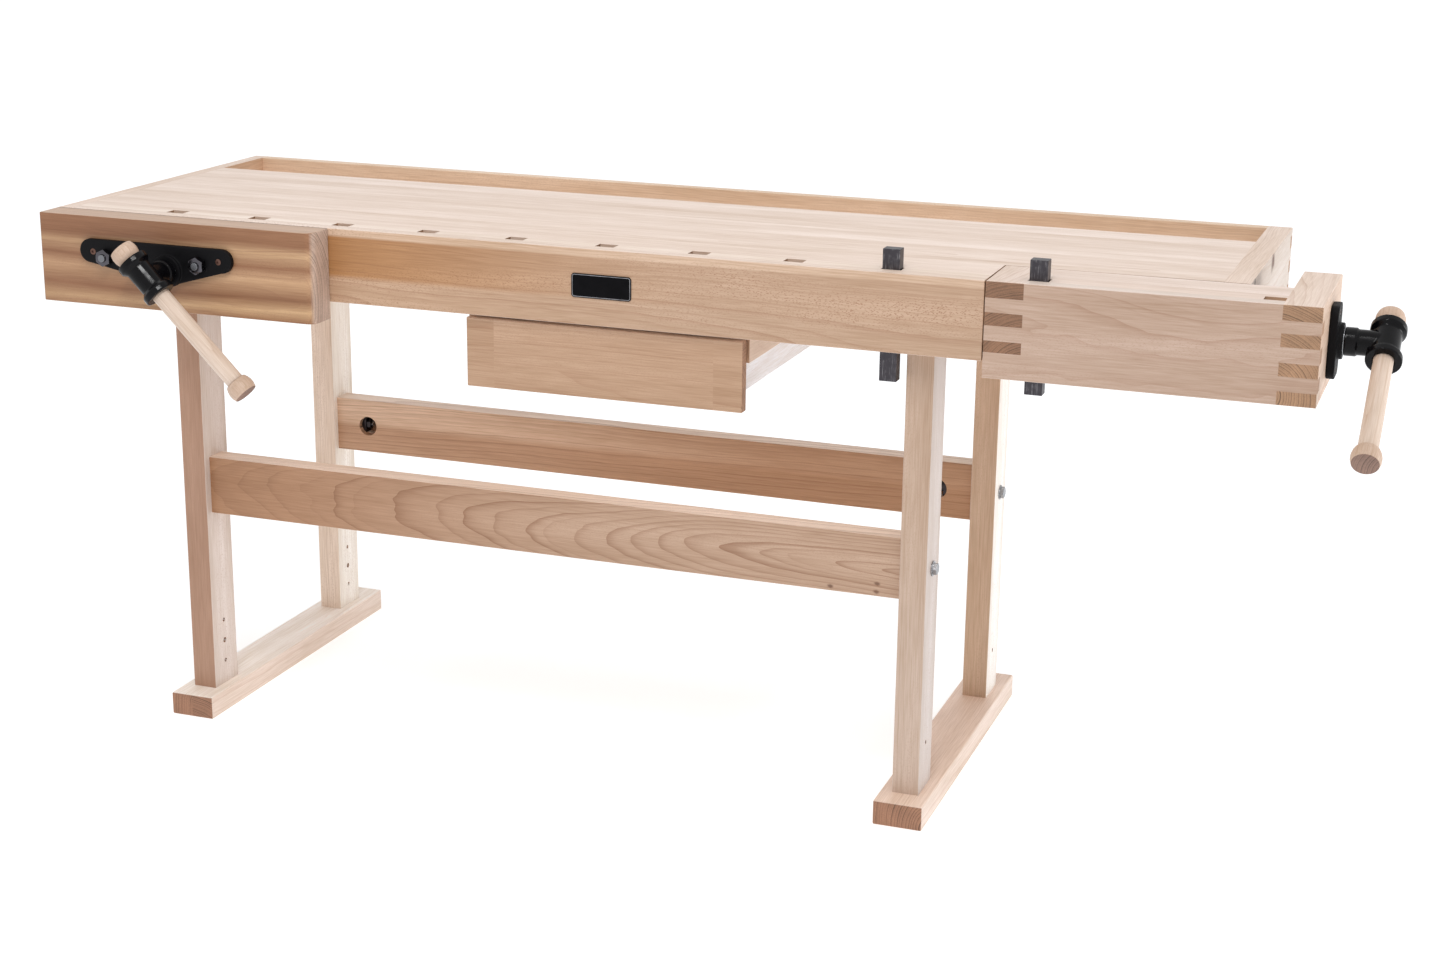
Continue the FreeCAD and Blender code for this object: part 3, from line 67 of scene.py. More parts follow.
# ------------ feet
# Two beech feet lie across the bench, planed and eased along their edges. The left one is
# glued up from two staves and the right one is whole. Their ends show dark end grain.


def linear(colour):
    """A colour written as sRGB hex, as the linear red, green, blue and alpha of a shader."""
    shares = [int(colour[i:i + 2], 16) / 255 for i in (1, 3, 5)]
    return [s / 12.92 if s <= 0.04045 else ((s + 0.055) / 1.055) ** 2.4 for s in shares] + [1.0]


def feed(tree, node, inputs):
    """Fills a node's sockets. inputs maps a socket to a value, or to what feeds it."""
    for name, value in inputs.items():
        if isinstance(value, bpy.types.Node):
            value = value.outputs[0]
        if isinstance(value, bpy.types.NodeSocket):
            tree.links.new(value, node.inputs[name])
        else:
            node.inputs[name].default_value = value


def add(tree, kind, *inputs, **settings):
    """One node with its settings. inputs feed its first sockets in order, or by name in a dict."""
    node = tree.nodes.new(kind)
    for name, value in settings.items():
        setattr(node, name, value)
    for place, value in enumerate(inputs):
        feed(tree, node, value if isinstance(value, dict) else {place: value})
    return node


def new_tree(name, kind, inputs, outputs):
    """A node group and what its inputs give. inputs and outputs list the sockets of each sort."""
    tree = bpy.data.node_groups.new(name, kind)
    for way, sockets in (("INPUT", inputs), ("OUTPUT", outputs)):
        for sort, names in sockets.items():
            for socket in names:
                tree.interface.new_socket(socket, in_out=way, socket_type="NodeSocket" + sort)
    return tree, add(tree, "NodeGroupInput").outputs


def new_material(name):
    """A material, its tree, its shader and the piece's own coordinates."""
    material = bpy.data.materials.new(name)
    material.use_nodes = True
    tree = material.node_tree
    return material, tree, tree.nodes["Principled BSDF"], add(tree, "ShaderNodeTexCoord").outputs


NUMBER = "ShaderNodeMath"
VECTOR = "ShaderNodeVectorMath"
RANGE = "ShaderNodeMapRange"
NOISE = "ShaderNodeTexNoise"
MIX = "ShaderNodeMixRGB"
AXES = "ShaderNodeSeparateXYZ"
GRAIN_INPUTS = {
    "Vector": ["Place", "Facing", "Heart", "Lean", "Staves"],
    "Float": ["Stave shift", "Ring width", "Wander", "Ring strength", "Fleck strength"],
    "Color": ["Face", "Edge", "End", "Late"],
}
GRAIN_OUTPUTS = {"Color": ["Colour"], "Float": ["Roughness", "Height"]}
GRAIN_WAVES = {
    # waves to a metre along and across the grain, and their detail
    "swell": ((1.7, 7.0, 7.0), 1.0),  # 590 by 140 mm
    "kink": ((16.0, 55.0, 55.0), 1.0),  # 62 by 18 mm
    "fibre": ((22.0, 620.0, 620.0), 3.0),  # 45 by 1.6 mm, coarser than real fibres, so that it shows
    "tone": ((2.2, 26.0, 26.0), 4.0),  # 450 by 38 mm
}
RAY_CELLS = (210.0, 760.0, 760.0)  # a ray to every 4.8 by 1.3 mm
HALF = (0.5, 0.5, 0.5)
KINK_SHARE = 0.09  # of the swells' bend
RING_RUN = 0.31  # wide and narrow rings come in runs of about three
RING_UNEVEN = 2.6  # by how many rings a run shifts them
LATE_POWER = 4.0  # a ring darkens slowly at first, then fast to its end
FAINTEST_RING = 0.25
FIBRE_CONTRAST = 0.55
TONE_CONTRAST = 0.66
STAVE_CONTRAST = 0.36
BROWNER = (0.80, 1.04, 1.35)  # how fast red, green and blue fall as the wood darkens
END_RING_CONTRAST = 0.95
WOOD_ROUGHNESS = 0.42
FIBRE_ROUGHNESS = 0.16  # what a fibre adds to it
END_ROUGHNESS = 0.14  # and end grain
RAY_SUNK = -0.6  # how low a ray lies, to how high a fibre stands


def beech_grain():
    """Beech in a board's own space, with X along the grain.

    Growth rings lie round the tree's heart, some way off the board, and wander. A board's
    face cuts them into arches, its edge into lines and its end into arcs. Fine fibres run
    along it, and short dark rays fleck it.
    """
    tree, given = new_tree("beech grain", "ShaderNodeTree", GRAIN_INPUTS, GRAIN_OUTPUTS)

    # each stave is another plank: its own cut from the tree and its own tone
    cell = add(tree, VECTOR, given["Place"], given["Staves"], operation="DIVIDE")
    middled = add(tree, VECTOR, cell, HALF, operation="ADD")
    stave = add(tree, VECTOR, middled, operation="FLOOR")
    chance = add(tree, "ShaderNodeTexWhiteNoise", {"Vector": stave}, noise_dimensions="3D")
    apart = add(tree, VECTOR, chance.outputs["Color"], HALF, operation="SUBTRACT")
    wood = add(tree, VECTOR, apart, given["Stave shift"], given["Place"], operation="MULTIPLY_ADD")
    waves = {}
    for name, (to_metre, detail) in GRAIN_WAVES.items():
        place = add(tree, VECTOR, wood, to_metre, operation="MULTIPLY")
        waves[name] = add(tree, NOISE, {"Vector": place, "Scale": 1.0, "Detail": detail})

    # rings about a heart line that leans and wanders
    along = add(tree, AXES, wood).outputs["X"]
    from_heart = add(tree, VECTOR, wood, given["Heart"], operation="ADD")
    wavy = add(tree, VECTOR, given["Lean"], along, from_heart, operation="MULTIPLY_ADD")
    for name, part in (("swell", 1.0), ("kink", KINK_SHARE)):
        off = add(tree, VECTOR, waves[name].outputs["Color"], HALF, operation="SUBTRACT")
        reach = add(tree, NUMBER, given["Wander"], part, operation="MULTIPLY")
        wavy = add(tree, VECTOR, off, reach, wavy, operation="MULTIPLY_ADD")
    across = add(tree, VECTOR, wavy, (0.0, 1.0, 1.0), operation="MULTIPLY")
    radius = add(tree, VECTOR, across, operation="LENGTH").outputs["Value"]
    count = add(tree, NUMBER, radius, given["Ring width"], operation="DIVIDE")
    season = add(tree, NOISE, {"W": count, "Scale": RING_RUN}, noise_dimensions="1D")
    uneven = add(tree, NUMBER, season, RING_UNEVEN, count, operation="MULTIPLY_ADD")
    ring = add(tree, NUMBER, uneven, operation="FLOOR")
    within = add(tree, NUMBER, uneven, operation="FRACT")
    late = add(tree, NUMBER, within, LATE_POWER, operation="POWER")
    year = add(tree, "ShaderNodeTexWhiteNoise", {"W": ring}, noise_dimensions="1D")
    good_year = add(tree, RANGE, {"Value": year.outputs["Value"], "To Min": FAINTEST_RING})
    line = add(tree, NUMBER, late, good_year, operation="MULTIPLY")
    shown_line = add(tree, NUMBER, line, given["Ring strength"], operation="MULTIPLY", use_clamp=True)

    # brightness from fibres, slow changes of tone and the stave: plain wood comes out at 1
    plain = 1 - (FIBRE_CONTRAST + TONE_CONTRAST) / 2
    fibre_by = add(tree, NUMBER, waves["fibre"], FIBRE_CONTRAST, plain, operation="MULTIPLY_ADD")
    tone_by = add(tree, NUMBER, waves["tone"], TONE_CONTRAST, fibre_by, operation="MULTIPLY_ADD")
    off_middle = add(tree, NUMBER, chance.outputs["Value"], 0.5, operation="SUBTRACT")
    stave_tone = add(tree, NUMBER, off_middle, given["Stave shift"], operation="MULTIPLY")
    bright = add(tree, NUMBER, stave_tone, STAVE_CONTRAST, tone_by, operation="MULTIPLY_ADD")

    # rays: dark dashes about 3 mm long, drawn 0.6 mm wide so that they show, in patches
    ray_place = add(tree, VECTOR, wood, RAY_CELLS, operation="MULTIPLY")
    rays = add(tree, "ShaderNodeTexVoronoi", {"Vector": ray_place, "Scale": 1.0})
    dash = add(tree, RANGE, {"Value": rays.outputs["Distance"], "From Min": 0.36, "From Max": 0.16})
    patch = add(tree, RANGE, {"Value": waves["tone"], "From Min": 0.42, "From Max": 0.64})
    patched = add(tree, NUMBER, dash, patch, operation="MULTIPLY")
    fleck = add(tree, NUMBER, patched, given["Fleck strength"], operation="MULTIPLY", use_clamp=True)

    # face, edge or end of the board, by the way that the surface faces
    facing = add(tree, VECTOR, given["Facing"], operation="ABSOLUTE")
    ways = add(tree, AXES, facing).outputs
    is_edge = add(tree, RANGE, {"Value": ways["Z"], "From Min": 0.55, "From Max": 0.8})
    is_end = add(tree, RANGE, {"Value": ways["X"], "From Min": 0.55, "From Max": 0.85})
    side = add(tree, MIX, {"Fac": is_edge, "Color1": given["Face"], "Color2": given["Edge"]})
    ringed = add(tree, MIX, {"Fac": shown_line, "Color1": side, "Color2": given["Late"]})
    off_plain = add(tree, NUMBER, bright, 1.0, operation="SUBTRACT")
    shade = add(tree, VECTOR, BROWNER, off_plain, (1.0, 1.0, 1.0), operation="MULTIPLY_ADD")
    toned = add(tree, VECTOR, ringed, shade, operation="MULTIPLY")
    flecked = add(tree, MIX, {"Fac": fleck, "Color1": toned, "Color2": given["Late"]})
    end_line = add(tree, NUMBER, line, -END_RING_CONTRAST, bright, operation="MULTIPLY_ADD")
    end_toned = add(tree, VECTOR, given["End"], {"Scale": end_line}, operation="SCALE")
    colour = add(tree, MIX, {"Fac": is_end, "Color1": flecked, "Color2": end_toned})

    # fibres are a little rougher than the wood between, rays are sunk and end grain is dull
    sheen = add(tree, NUMBER, waves["fibre"], FIBRE_ROUGHNESS, WOOD_ROUGHNESS, operation="MULTIPLY_ADD")
    roughness = add(tree, NUMBER, is_end, END_ROUGHNESS, sheen, operation="MULTIPLY_ADD")
    pores = add(tree, NUMBER, fleck, RAY_SUNK, waves["fibre"], operation="MULTIPLY_ADD")
    add(tree, "NodeGroupOutput", {"Colour": colour, "Roughness": roughness, "Height": pores})
    return tree


GRAIN = beech_grain()
ALONG = {"x": (0.0, 0.0, 0.0), "y": (0.0, 0.0, math.pi / 2), "z": (0.0, -math.pi / 2, 0.0)}
FIBRE_DEPTH = 0.00012
WOOD_IOR = 1.5
WHOLE = 9.0  # longer than any board, where staves don't part it


def beech(name, grain, centre, heart=(0.0, 0.05, 0.03), lean=(0.0, 0.012, 0.006),
          staves=(WHOLE, WHOLE, WHOLE), stave_shift=0.0, ring=0.0042, wander=0.02, rings=0.5, flecks=0.3,
          face="#dcb697", edge="#e3d0c0", end="#a98468", late="#a87650"):
    """Planed beech with a thin oil finish: pale, fine, softly sheened, with darker end grain.

    grain is the axis that the board runs along, or a turn as three angles. staves gives the
    sizes of the staves that it is glued up from, and ring the width of its growth rings.
    """
    material, tree, shader, where = new_material(name)
    turn = ALONG.get(grain, grain)
    place = add(tree, "ShaderNodeMapping", {
        "Vector": where["Object"], "Location": centre, "Rotation": turn}, vector_type="TEXTURE")
    facing = add(tree, "ShaderNodeMapping", {
        "Vector": where["Normal"], "Rotation": turn}, vector_type="TEXTURE")
    wood = add(tree, "ShaderNodeGroup", {
        "Place": place, "Facing": facing, "Heart": heart, "Lean": lean, "Staves": staves,
        "Stave shift": stave_shift, "Ring width": ring, "Wander": wander, "Ring strength": rings,
        "Fleck strength": flecks, "Face": linear(face), "Edge": linear(edge), "End": linear(end),
        "Late": linear(late)}, node_tree=GRAIN).outputs
    bump = add(tree, "ShaderNodeBump", {
        "Height": wood["Height"], "Distance": FIBRE_DEPTH, "Strength": 0.6})
    feed(tree, shader, {
        "Base Color": wood["Colour"], "Roughness": wood["Roughness"], "Normal": bump, "IOR": WOOD_IOR})
    return material


def on_plane(edge, axis, places):
    """Does an edge lie in a plane across the axis, at one of the places?"""
    close = 0.00005
    return any(all(abs(v.co[axis] - place) < close for v in edge.verts) for place in places)


def board(node, grain, name="", aside=0.0, **look):
    """The beech of one board, named for it and drawn about its middle, or a little aside of it."""
    low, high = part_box(node)
    centre = (low + high) / 2 + Vector((aside, 0.0, 0.0))
    return beech(name or "Beech " + node.replace("_", " "), grain, centre, **look)


SHARP = math.radians(35)
FLAT = math.radians(0.8)
TOUCHING = 0.00001
LEVELS = 3


def clean_copy(node):
    """A CAD solid's surface as one joined mesh, with the flat faces made whole."""
    shape = bmesh.new()
    shape.from_mesh(frame["nodes"][node].data)
    bmesh.ops.remove_doubles(shape, verts=shape.verts, dist=TOUCHING)
    bmesh.ops.dissolve_limit(shape, angle_limit=FLAT, verts=shape.verts, edges=shape.edges)
    return shape


def placed(name, data):
    """A new object in the scene."""
    item = bpy.data.objects.new(name, data)
    bpy.context.scene.collection.objects.link(item)
    return item


def working_object(shape):
    """A smoothly shaded object to put modifiers on, from a bmesh."""
    mesh = bpy.data.meshes.new("work")
    shape.to_mesh(mesh)
    shape.free()
    mesh.shade_smooth()
    mesh.set_sharp_from_angle(angle=SHARP)
    return placed("work", mesh)


def finished(work, name, node, materials=()):
    """Turns a working object into a plain mesh piece that stands for a node, on its body."""
    graph = bpy.context.evaluated_depsgraph_get()
    mesh = bpy.data.meshes.new_from_object(
        work.evaluated_get(graph), preserve_all_data_layers=True, depsgraph=graph)
    mesh.name = name
    bpy.data.objects.remove(work)
    piece = placed(name, mesh)
    if materials:
        mesh.materials.clear()
    for material in materials:
        mesh.materials.append(material)
    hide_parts(node)
    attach(piece, frame["nodes"][node]["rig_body"])
    return piece


def dressed(node, material, arris=0.0016, eased="xyz", rims="", planes=None, worn=None):
    """A clean copy of a CAD solid with its edges eased, that stands for the solid.

    An edge is eased where two of the eased axes' outer planes meet, or where it bounds an
    outer plane across one of the rims' axes, or anywhere where eased is "all". planes names
    other outer planes than the box's. worn is the material of the eased edges themselves.
    """
    low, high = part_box(node)
    outer = {axis: (low[i], high[i]) for i, axis in enumerate("xyz")}
    outer.update(planes or {})
    shape = clean_copy(node)
    weight = shape.edges.layers.float.new("bevel_weight_edge")
    for edge in shape.edges:
        if not edge.is_manifold or edge.calc_face_angle() < SHARP:
            continue
        on = [axis for i, axis in enumerate("xyz") if on_plane(edge, i, outer[axis])]
        corner = len([axis for axis in on if axis in eased]) > 1
        rim = any(axis in rims for axis in on)
        edge[weight] = 1.0 if corner or rim or eased == "all" else 0.0
    work = working_object(shape)
    ease = work.modifiers.new("Ease", "BEVEL")
    ease.limit_method = "WEIGHT"
    ease.width = arris
    ease.segments = LEVELS
    ease.use_clamp_overlap = eased == "all"
    ease.material = 1 if worn else -1
    work.modifiers.new("Flat faces", "WEIGHTED_NORMAL").keep_sharp = True
    materials = [material, worn] if worn else [material]
    return finished(work, node + "_dressed", node, materials)


FOOT_STAVE = 0.039
feet = {
    # foot: how far its staves are moved, so that the glue line is in its middle, and its look
    # painted light: the left foot's near white edge colour, on its top, lifts it out of the slab's shade
    "foot_left": (FOOT_STAVE / 2, {"heart": (0.0, 0.07, 0.016), "stave_shift": 0.25, "edge": "#f8eee4"}),
    "foot_right": (0.0, {"heart": (0.0, 0.06, 0.016), "edge": "#e8d0bf"}),
}
for node, (aside, look) in feet.items():
    wood = board(
        node, "y", aside=aside, ring=0.004, staves=(WHOLE, FOOT_STAVE, WHOLE), rings=0.4, flecks=0.2,
        face="#e2cfc1", end="#a2765c", late="#b98e70", **look)
    dressed(node, wood, arris=0.0025)

# ------------ legs
# Four beech legs, 42 by 72 mm, tenoned into the feet. Their broad sides show straight pale
# grain and their narrow ones flat sawn, browner wood. The long edges are eased.


def grain_of(material):
    return next(node for node in material.node_tree.nodes if node.type == "GROUP")


def tinted(material, side, share, colour):
    """Blends a side of a board, over what colours it already, towards another colour."""
    tree = material.node_tree
    wood = grain_of(material)
    socket = wood.inputs[side]
    before = socket.links[0].from_socket if socket.links else tuple(socket.default_value)
    mixed = add(tree, MIX, {"Fac": share, "Color1": before, "Color2": linear(colour)})
    feed(tree, wood, {side: mixed})


def stained(material, axis, start, end, colour, strength=1.0, side="Face"):
    """Blends a board's face, or its edge, towards another colour from one place to another."""
    tree = material.node_tree
    where = add(tree, "ShaderNodeTexCoord").outputs["Object"]
    along = add(tree, AXES, where).outputs[axis]
    share = add(tree, RANGE, {
        "Value": along, "From Min": start, "From Max": end, "To Max": strength},
        interpolation_type="SMOOTHSTEP")
    tinted(material, side, share, colour)


legs = {
    "leg_front_left": {"face": "#aa846d", "edge": "#d4c5bb", "heart": (0.3, 0.05, 0.04)},
    "leg_front_right": {"face": "#c6af9e", "edge": "#c7bbb4", "heart": (0.9, 0.07, -0.05)},
    # painted light: the rear left leg is paler all over and both rear legs' sides near white, to lift them
    # out of the shade under the slab
    "leg_rear_left": {"face": "#ebd5c2", "edge": "#f1e8dd", "heart": (1.6, -0.05, 0.06)},
    "leg_rear_right": {"face": "#c7a88d", "edge": "#f2ece5", "heart": (2.3, 0.06, 0.05)},
}
for node, look in legs.items():
    wood = board(node, "z", ring=0.003, rings=0.42, flecks=0.5, late="#a27a5c", **look)
    # painted shade: the front right leg darkens towards its top, for the shade under the slab
    if node == "leg_front_right":
        stained(wood, "Z", 0.22, 0.52, "#ba9f8a")
    dressed(node, wood, arris=0.0014, eased="xy")

# ------------ bearers and battens
# Beech bearers cap the legs, and battens stand on them. Bolts through both pull them up to
# the slab.

for node in ("bearers", "battens"):
    wood = board(node, "y", stave_shift=0.2, rings=0.35)
    dressed(node, wood, arris=0.0012)

# ------------ rails
# Two long rails tie the legs. The front one is flat sawn, so its face shows tall arches and
# small knots. The rear one is straighter, and browner and darker to the right, where shade is
# painted on it. Their top edges are painted pale, as light that lifts them out of the slab's shade.


def knotted(material, place, size, colour="#5f3b26", strength=0.8):
    """Adds a small knot, dark in its heart, to the face of a board. size is its three widths."""
    tree = material.node_tree
    where = add(tree, "ShaderNodeTexCoord").outputs["Object"]
    about = add(tree, "ShaderNodeMapping", {
        "Vector": where, "Location": place, "Scale": size}, vector_type="TEXTURE")
    ragged = add(tree, NOISE, {"Vector": about, "Scale": 1.6, "Detail": 3.0})
    away = add(tree, VECTOR, about, operation="LENGTH").outputs["Value"]
    edge = add(tree, NUMBER, ragged, 0.5, away, operation="MULTIPLY_ADD")
    share = add(tree, RANGE, {
        "Value": edge, "From Min": 0.85, "From Max": 0.4, "To Max": strength},
        interpolation_type="SMOOTHSTEP")
    tinted(material, "Face", share, colour)


# painted light: both rails' pale edge colours, on their tops, lift them out of the slab's shade
rail_wood = {
    "rail_front": board(
        "rail_front", "x", "Beech front rail", heart=(0.35, 0.085, 0.006),
        lean=(0.0, -0.10, 0.004), ring=0.0055, wander=0.034, rings=0.8, flecks=0.25,
        face="#b7977f", edge="#ecd6c4", late="#855a3c"),
    "rail_rear": board(
        "rail_rear", "x", "Beech rear rail", heart=(1.0, 0.04, 0.11),
        lean=(0.0, 0.01, -0.02), ring=0.0065, wander=0.03, rings=0.75, flecks=0.15,
        face="#e2c0a4", edge="#f0dfd0", late="#8c5c3b"),
}
stained(rail_wood["rail_front"], "X", 0.0, -0.9, "#a06e46", 0.75)
stained(rail_wood["rail_rear"], "Z", 0.408, 0.392, "#b38562", 0.75)
# painted shade: the rear rail darkens towards its right, for the shadow that the bench's front throws on it
stained(rail_wood["rail_rear"], "X", -0.75, 0.1, "#a97b56", 0.85)
for place in ((0.249, -0.173, 0.355), (0.322, -0.173, 0.355), (0.323, -0.173, 0.368)):
    knotted(rail_wood["rail_front"], place, (0.011, 0.02, 0.008))
for node, wood in rail_wood.items():
    dressed(node, wood, arris=0.0014, eased="yz")


def coated(node, material):
    """Gives a CAD node that stays as it is its material."""
    data = frame["nodes"][node].data
    data.materials.clear()
    data.materials.append(material)


coated("rail_dowels", board("rail_dowels", "x", "Beech dowel"))

# ------------ bolts of the base
# A zinc plated bolt through each leg into its rail meets a crescent washer and a nut in the
# rail's pocket. Four more bolts hold the bearers and battens up to the slab.

ROUND = 48
CHAMFER = math.tan(math.radians(30))
CROWN = 0.475  # radius where the chamfer starts, as a share of the width over flats
# bolt, its head, washer and nut
BOLT_WIDE = 0.010
HEAD_FLATS = 0.017
HEAD_HIGH = 0.0064
HEAD_DISH = (0.0110, 0.0120, 0.0003)  # the shallow dish in its top: wide below and above, deep
NUT_HIGH = 0.008
WASHER_WIDE = 0.024
WASHER_THICK = 0.002
# from a leg's outer face inwards
CRESCENT_CENTRE = -0.104
CRESCENT_RADIUS = 0.0173
CRESCENT_FACE = 0.009
CRESCENT_WIDE = 0.020
CRESCENT_STEPS = 24
BOLT_TIP = -0.106
TOP_BOLT_TIP = -0.107


def level(x, radius):
    """A round ring about the X axis, as one x and radius for each angle."""
    return [(x, radius)] * ROUND


def hexagon(flats):
    """A hexagon's radius at each angle of a ring."""
    turns = [math.radians((360 / ROUND * i + 30) % 60 - 30) for i in range(ROUND)]
    return [flats / 2 / math.cos(turn) for turn in turns]


def hexed(x, flats):
    return [(x, radius) for radius in hexagon(flats)]


def chamfered(x, flats, outward):
    """Where a turned 30 degree chamfer cuts the sides of a hexagon, in six arcs."""
    crown = CROWN * flats
    return [(x - outward * (radius - crown) * CHAMFER, radius) for radius in hexagon(flats)]


def skin(shape, rings, closed=False):
    """Joins rings round the X axis into a surface. closed joins the last ring to the first."""
    loops = []
    for ring in rings:
        loop = []
        for i, (x, radius) in enumerate(ring):
            angle = 2 * math.pi * i / ROUND
            loop.append(shape.verts.new((x, radius * math.cos(angle), radius * math.sin(angle))))
        loops.append(loop)
    if closed:
        loops.append(loops[0])
    for near, far in zip(loops, loops[1:]):
        for i in range(ROUND):
            shape.faces.new((near[i], near[i - 1], far[i - 1], far[i]))


def nut(shape, x, high, flats, bore):
    lip = 0.0006
    end = x + high
    rings = [
        level(x, bore / 2 + lip), level(x, CROWN * flats), chamfered(x, flats, -1),
        chamfered(end, flats, 1), level(end, CROWN * flats), level(end, bore / 2 + lip),
        level(end - lip, bore / 2), level(x + lip, bore / 2),
    ]
    skin(shape, rings, closed=True)


def bolt(shape, seat, tip):
    """A hexagon head on its seat, with the shank down to a chamfered tip."""
    top = seat + HEAD_HIGH
    half = BOLT_WIDE / 2
    low, high, deep = HEAD_DISH
    slope = 0.0012
    skin(shape, [
        level(top - deep, 0.0), level(top - deep, low / 2), level(top, high / 2),
        level(top, CROWN * HEAD_FLATS), chamfered(top, HEAD_FLATS, 1), hexed(seat, HEAD_FLATS),
        level(seat, half), level(tip + slope, half), level(tip, half - slope), level(tip, 0.0)])


def rail_bolt(shape):
    """A bolt on its washer, whose outer edges are rounded off."""
    thick = WASHER_THICK
    wide = WASHER_WIDE / 2
    hole = BOLT_WIDE / 2
    lip = 0.0003
    skin(shape, [
        level(0.0, hole), level(0.0, wide - lip), level(lip, wide), level(thick - lip, wide),
        level(thick, wide - lip), level(thick, hole)], closed=True)
    bolt(shape, thick, BOLT_TIP)


def rail_nut(shape):
    """A nut against the segment washer that fills the outer side of its round pocket."""
    reach = math.acos(CRESCENT_FACE / CRESCENT_RADIUS)
    arc = [reach * (2 * i / CRESCENT_STEPS - 1) for i in range(CRESCENT_STEPS + 1)]
    rim = [(CRESCENT_CENTRE + CRESCENT_RADIUS * math.cos(a), CRESCENT_RADIUS * math.sin(a)) for a in arc]
    near, far = (
        [shape.verts.new((x, y, z)) for x, z in rim] for y in (-CRESCENT_WIDE / 2, CRESCENT_WIDE / 2))
    shape.faces.new(near)
    shape.faces.new(far)
    for i in range(len(rim)):
        shape.faces.new((near[i - 1], near[i], far[i], far[i - 1]))
    nut(shape, CRESCENT_CENTRE + CRESCENT_FACE - NUT_HIGH, NUT_HIGH, HEAD_FLATS, BOLT_WIDE)


ROW_INPUTS = {
    "Object": ["Fastener"], "Vector": ["Apart", "Facing", "Middle"], "Int": ["Across", "Deep", "Seed"],
    "Float": ["Mirrored", "Twist"], "Material": ["Finish"],
}
MOVE = "GeometryNodeTransform"


def solid_end(tree, geometry, finish):
    """Ends a tree: what it sets out is made solid and takes its finish."""
    solid = add(tree, "GeometryNodeRealizeInstances", geometry)
    coat = add(tree, "GeometryNodeSetMaterial", {"Geometry": solid, "Material": finish})
    add(tree, "NodeGroupOutput", coat)


def fastener_rows():
    """Sets out a fastener in a level grid, each turned a little by chance as spanners leave them.

    Where Mirrored is 1, those in the left half face the other way.
    """
    tree, given = new_tree("fastener rows", "GeometryNodeTree", ROW_INPUTS, {"Geometry": ["Geometry"]})
    apart = add(tree, AXES, given["Apart"])
    grid = add(tree, "GeometryNodeMeshGrid", {
        "Size X": apart.outputs["X"], "Size Y": apart.outputs["Y"],
        "Vertices X": given["Across"], "Vertices Y": given["Deep"]})
    place = add(tree, "GeometryNodeInputPosition")
    place_axes = add(tree, AXES, place)
    on_left = add(tree, NUMBER, place_axes.outputs["X"], -0.001, operation="LESS_THAN")
    half_turn = add(tree, NUMBER, given["Mirrored"], math.pi, operation="MULTIPLY")
    flip = add(tree, NUMBER, on_left, half_turn, operation="MULTIPLY")
    # this node's sockets by number, as their names repeat: least, most and seed
    chance = add(tree, "FunctionNodeRandomValue", {2: -1.0, 3: 1.0, 8: given["Seed"]}, data_type="FLOAT")
    twist = add(tree, NUMBER, chance.outputs[1], given["Twist"], operation="MULTIPLY")
    own_turn = add(tree, "ShaderNodeCombineXYZ", {"X": twist, "Z": flip})
    whole_turn = add(tree, VECTOR, own_turn, given["Facing"], operation="ADD")
    turn = add(tree, "FunctionNodeEulerToRotation", whole_turn)
    fastener = add(tree, "GeometryNodeObjectInfo", {"Object": given["Fastener"]})
    spread = add(tree, "GeometryNodeInstanceOnPoints", {
        "Points": grid, "Instance": fastener.outputs["Geometry"], "Rotation": turn})
    moved = add(tree, MOVE, {"Geometry": spread, "Translation": given["Middle"]})
    solid_end(tree, moved, given["Finish"])
    return tree


ROWS = fastener_rows()


def grown(name, tree, sizes, node):
    """Runs a Geometry Nodes tree and keeps its result as a plain mesh piece."""
    work = working_object(bmesh.new())
    run = work.modifiers.new("Run", "NODES")
    run.node_group = tree
    for item in tree.interface.items_tree:
        if item.name in sizes:
            run[item.identifier] = sizes[item.name]
    return finished(work, name, node)


def fastened(node, make, finish, middle, apart=(0.0, 0.0), facing=(0.0, 0.0, 0.0),
             mirrored=0.0, twist=0.0, seed=0):
    """Rows of a fastener in a node's place: two of them each way that they stand apart."""
    shape = bmesh.new()
    make(shape)
    bmesh.ops.remove_doubles(shape, verts=shape.verts, dist=TOUCHING / 10)
    bmesh.ops.recalc_face_normals(shape, faces=shape.faces)
    pattern = working_object(shape)
    across, deep = (2 if gap else 1 for gap in apart)
    grown(node + "_set", ROWS, {
        "Fastener": pattern, "Apart": (*apart, 0.0), "Across": across, "Deep": deep,
        "Facing": facing, "Mirrored": mirrored, "Twist": twist, "Seed": seed, "Middle": middle,
        "Finish": finish}, node)
    bpy.data.objects.remove(pattern)


CLOUDS = 220.0  # soft cloudy patches of 4.5 mm
STEEL_TOOTH = 0.0004  # finer on real steel, drawn so that it shows
STEEL_TOOTH_DEPTH = 0.00002


def plated(name, colour, roughness):
    """Steel that is zinc plated, oiled, ground or browned: a little cloudy, with a matt tooth."""
    material, tree, shader, where = new_material(name)
    cloud = add(tree, NOISE, {"Vector": where["Object"], "Scale": CLOUDS, "Detail": 3.0})
    tooth = add(tree, NOISE, {"Vector": where["Object"], "Scale": 1 / STEEL_TOOTH})
    matt = add(tree, RANGE, {"Value": cloud, "To Min": roughness - 0.08, "To Max": roughness + 0.1})
    bump = add(tree, "ShaderNodeBump", {
        "Height": tooth, "Distance": STEEL_TOOTH_DEPTH, "Strength": 0.5})
    feed(tree, shader, {
        "Roughness": matt, "Normal": bump, "Base Color": linear(colour), "Metallic": 1.0})
    return material


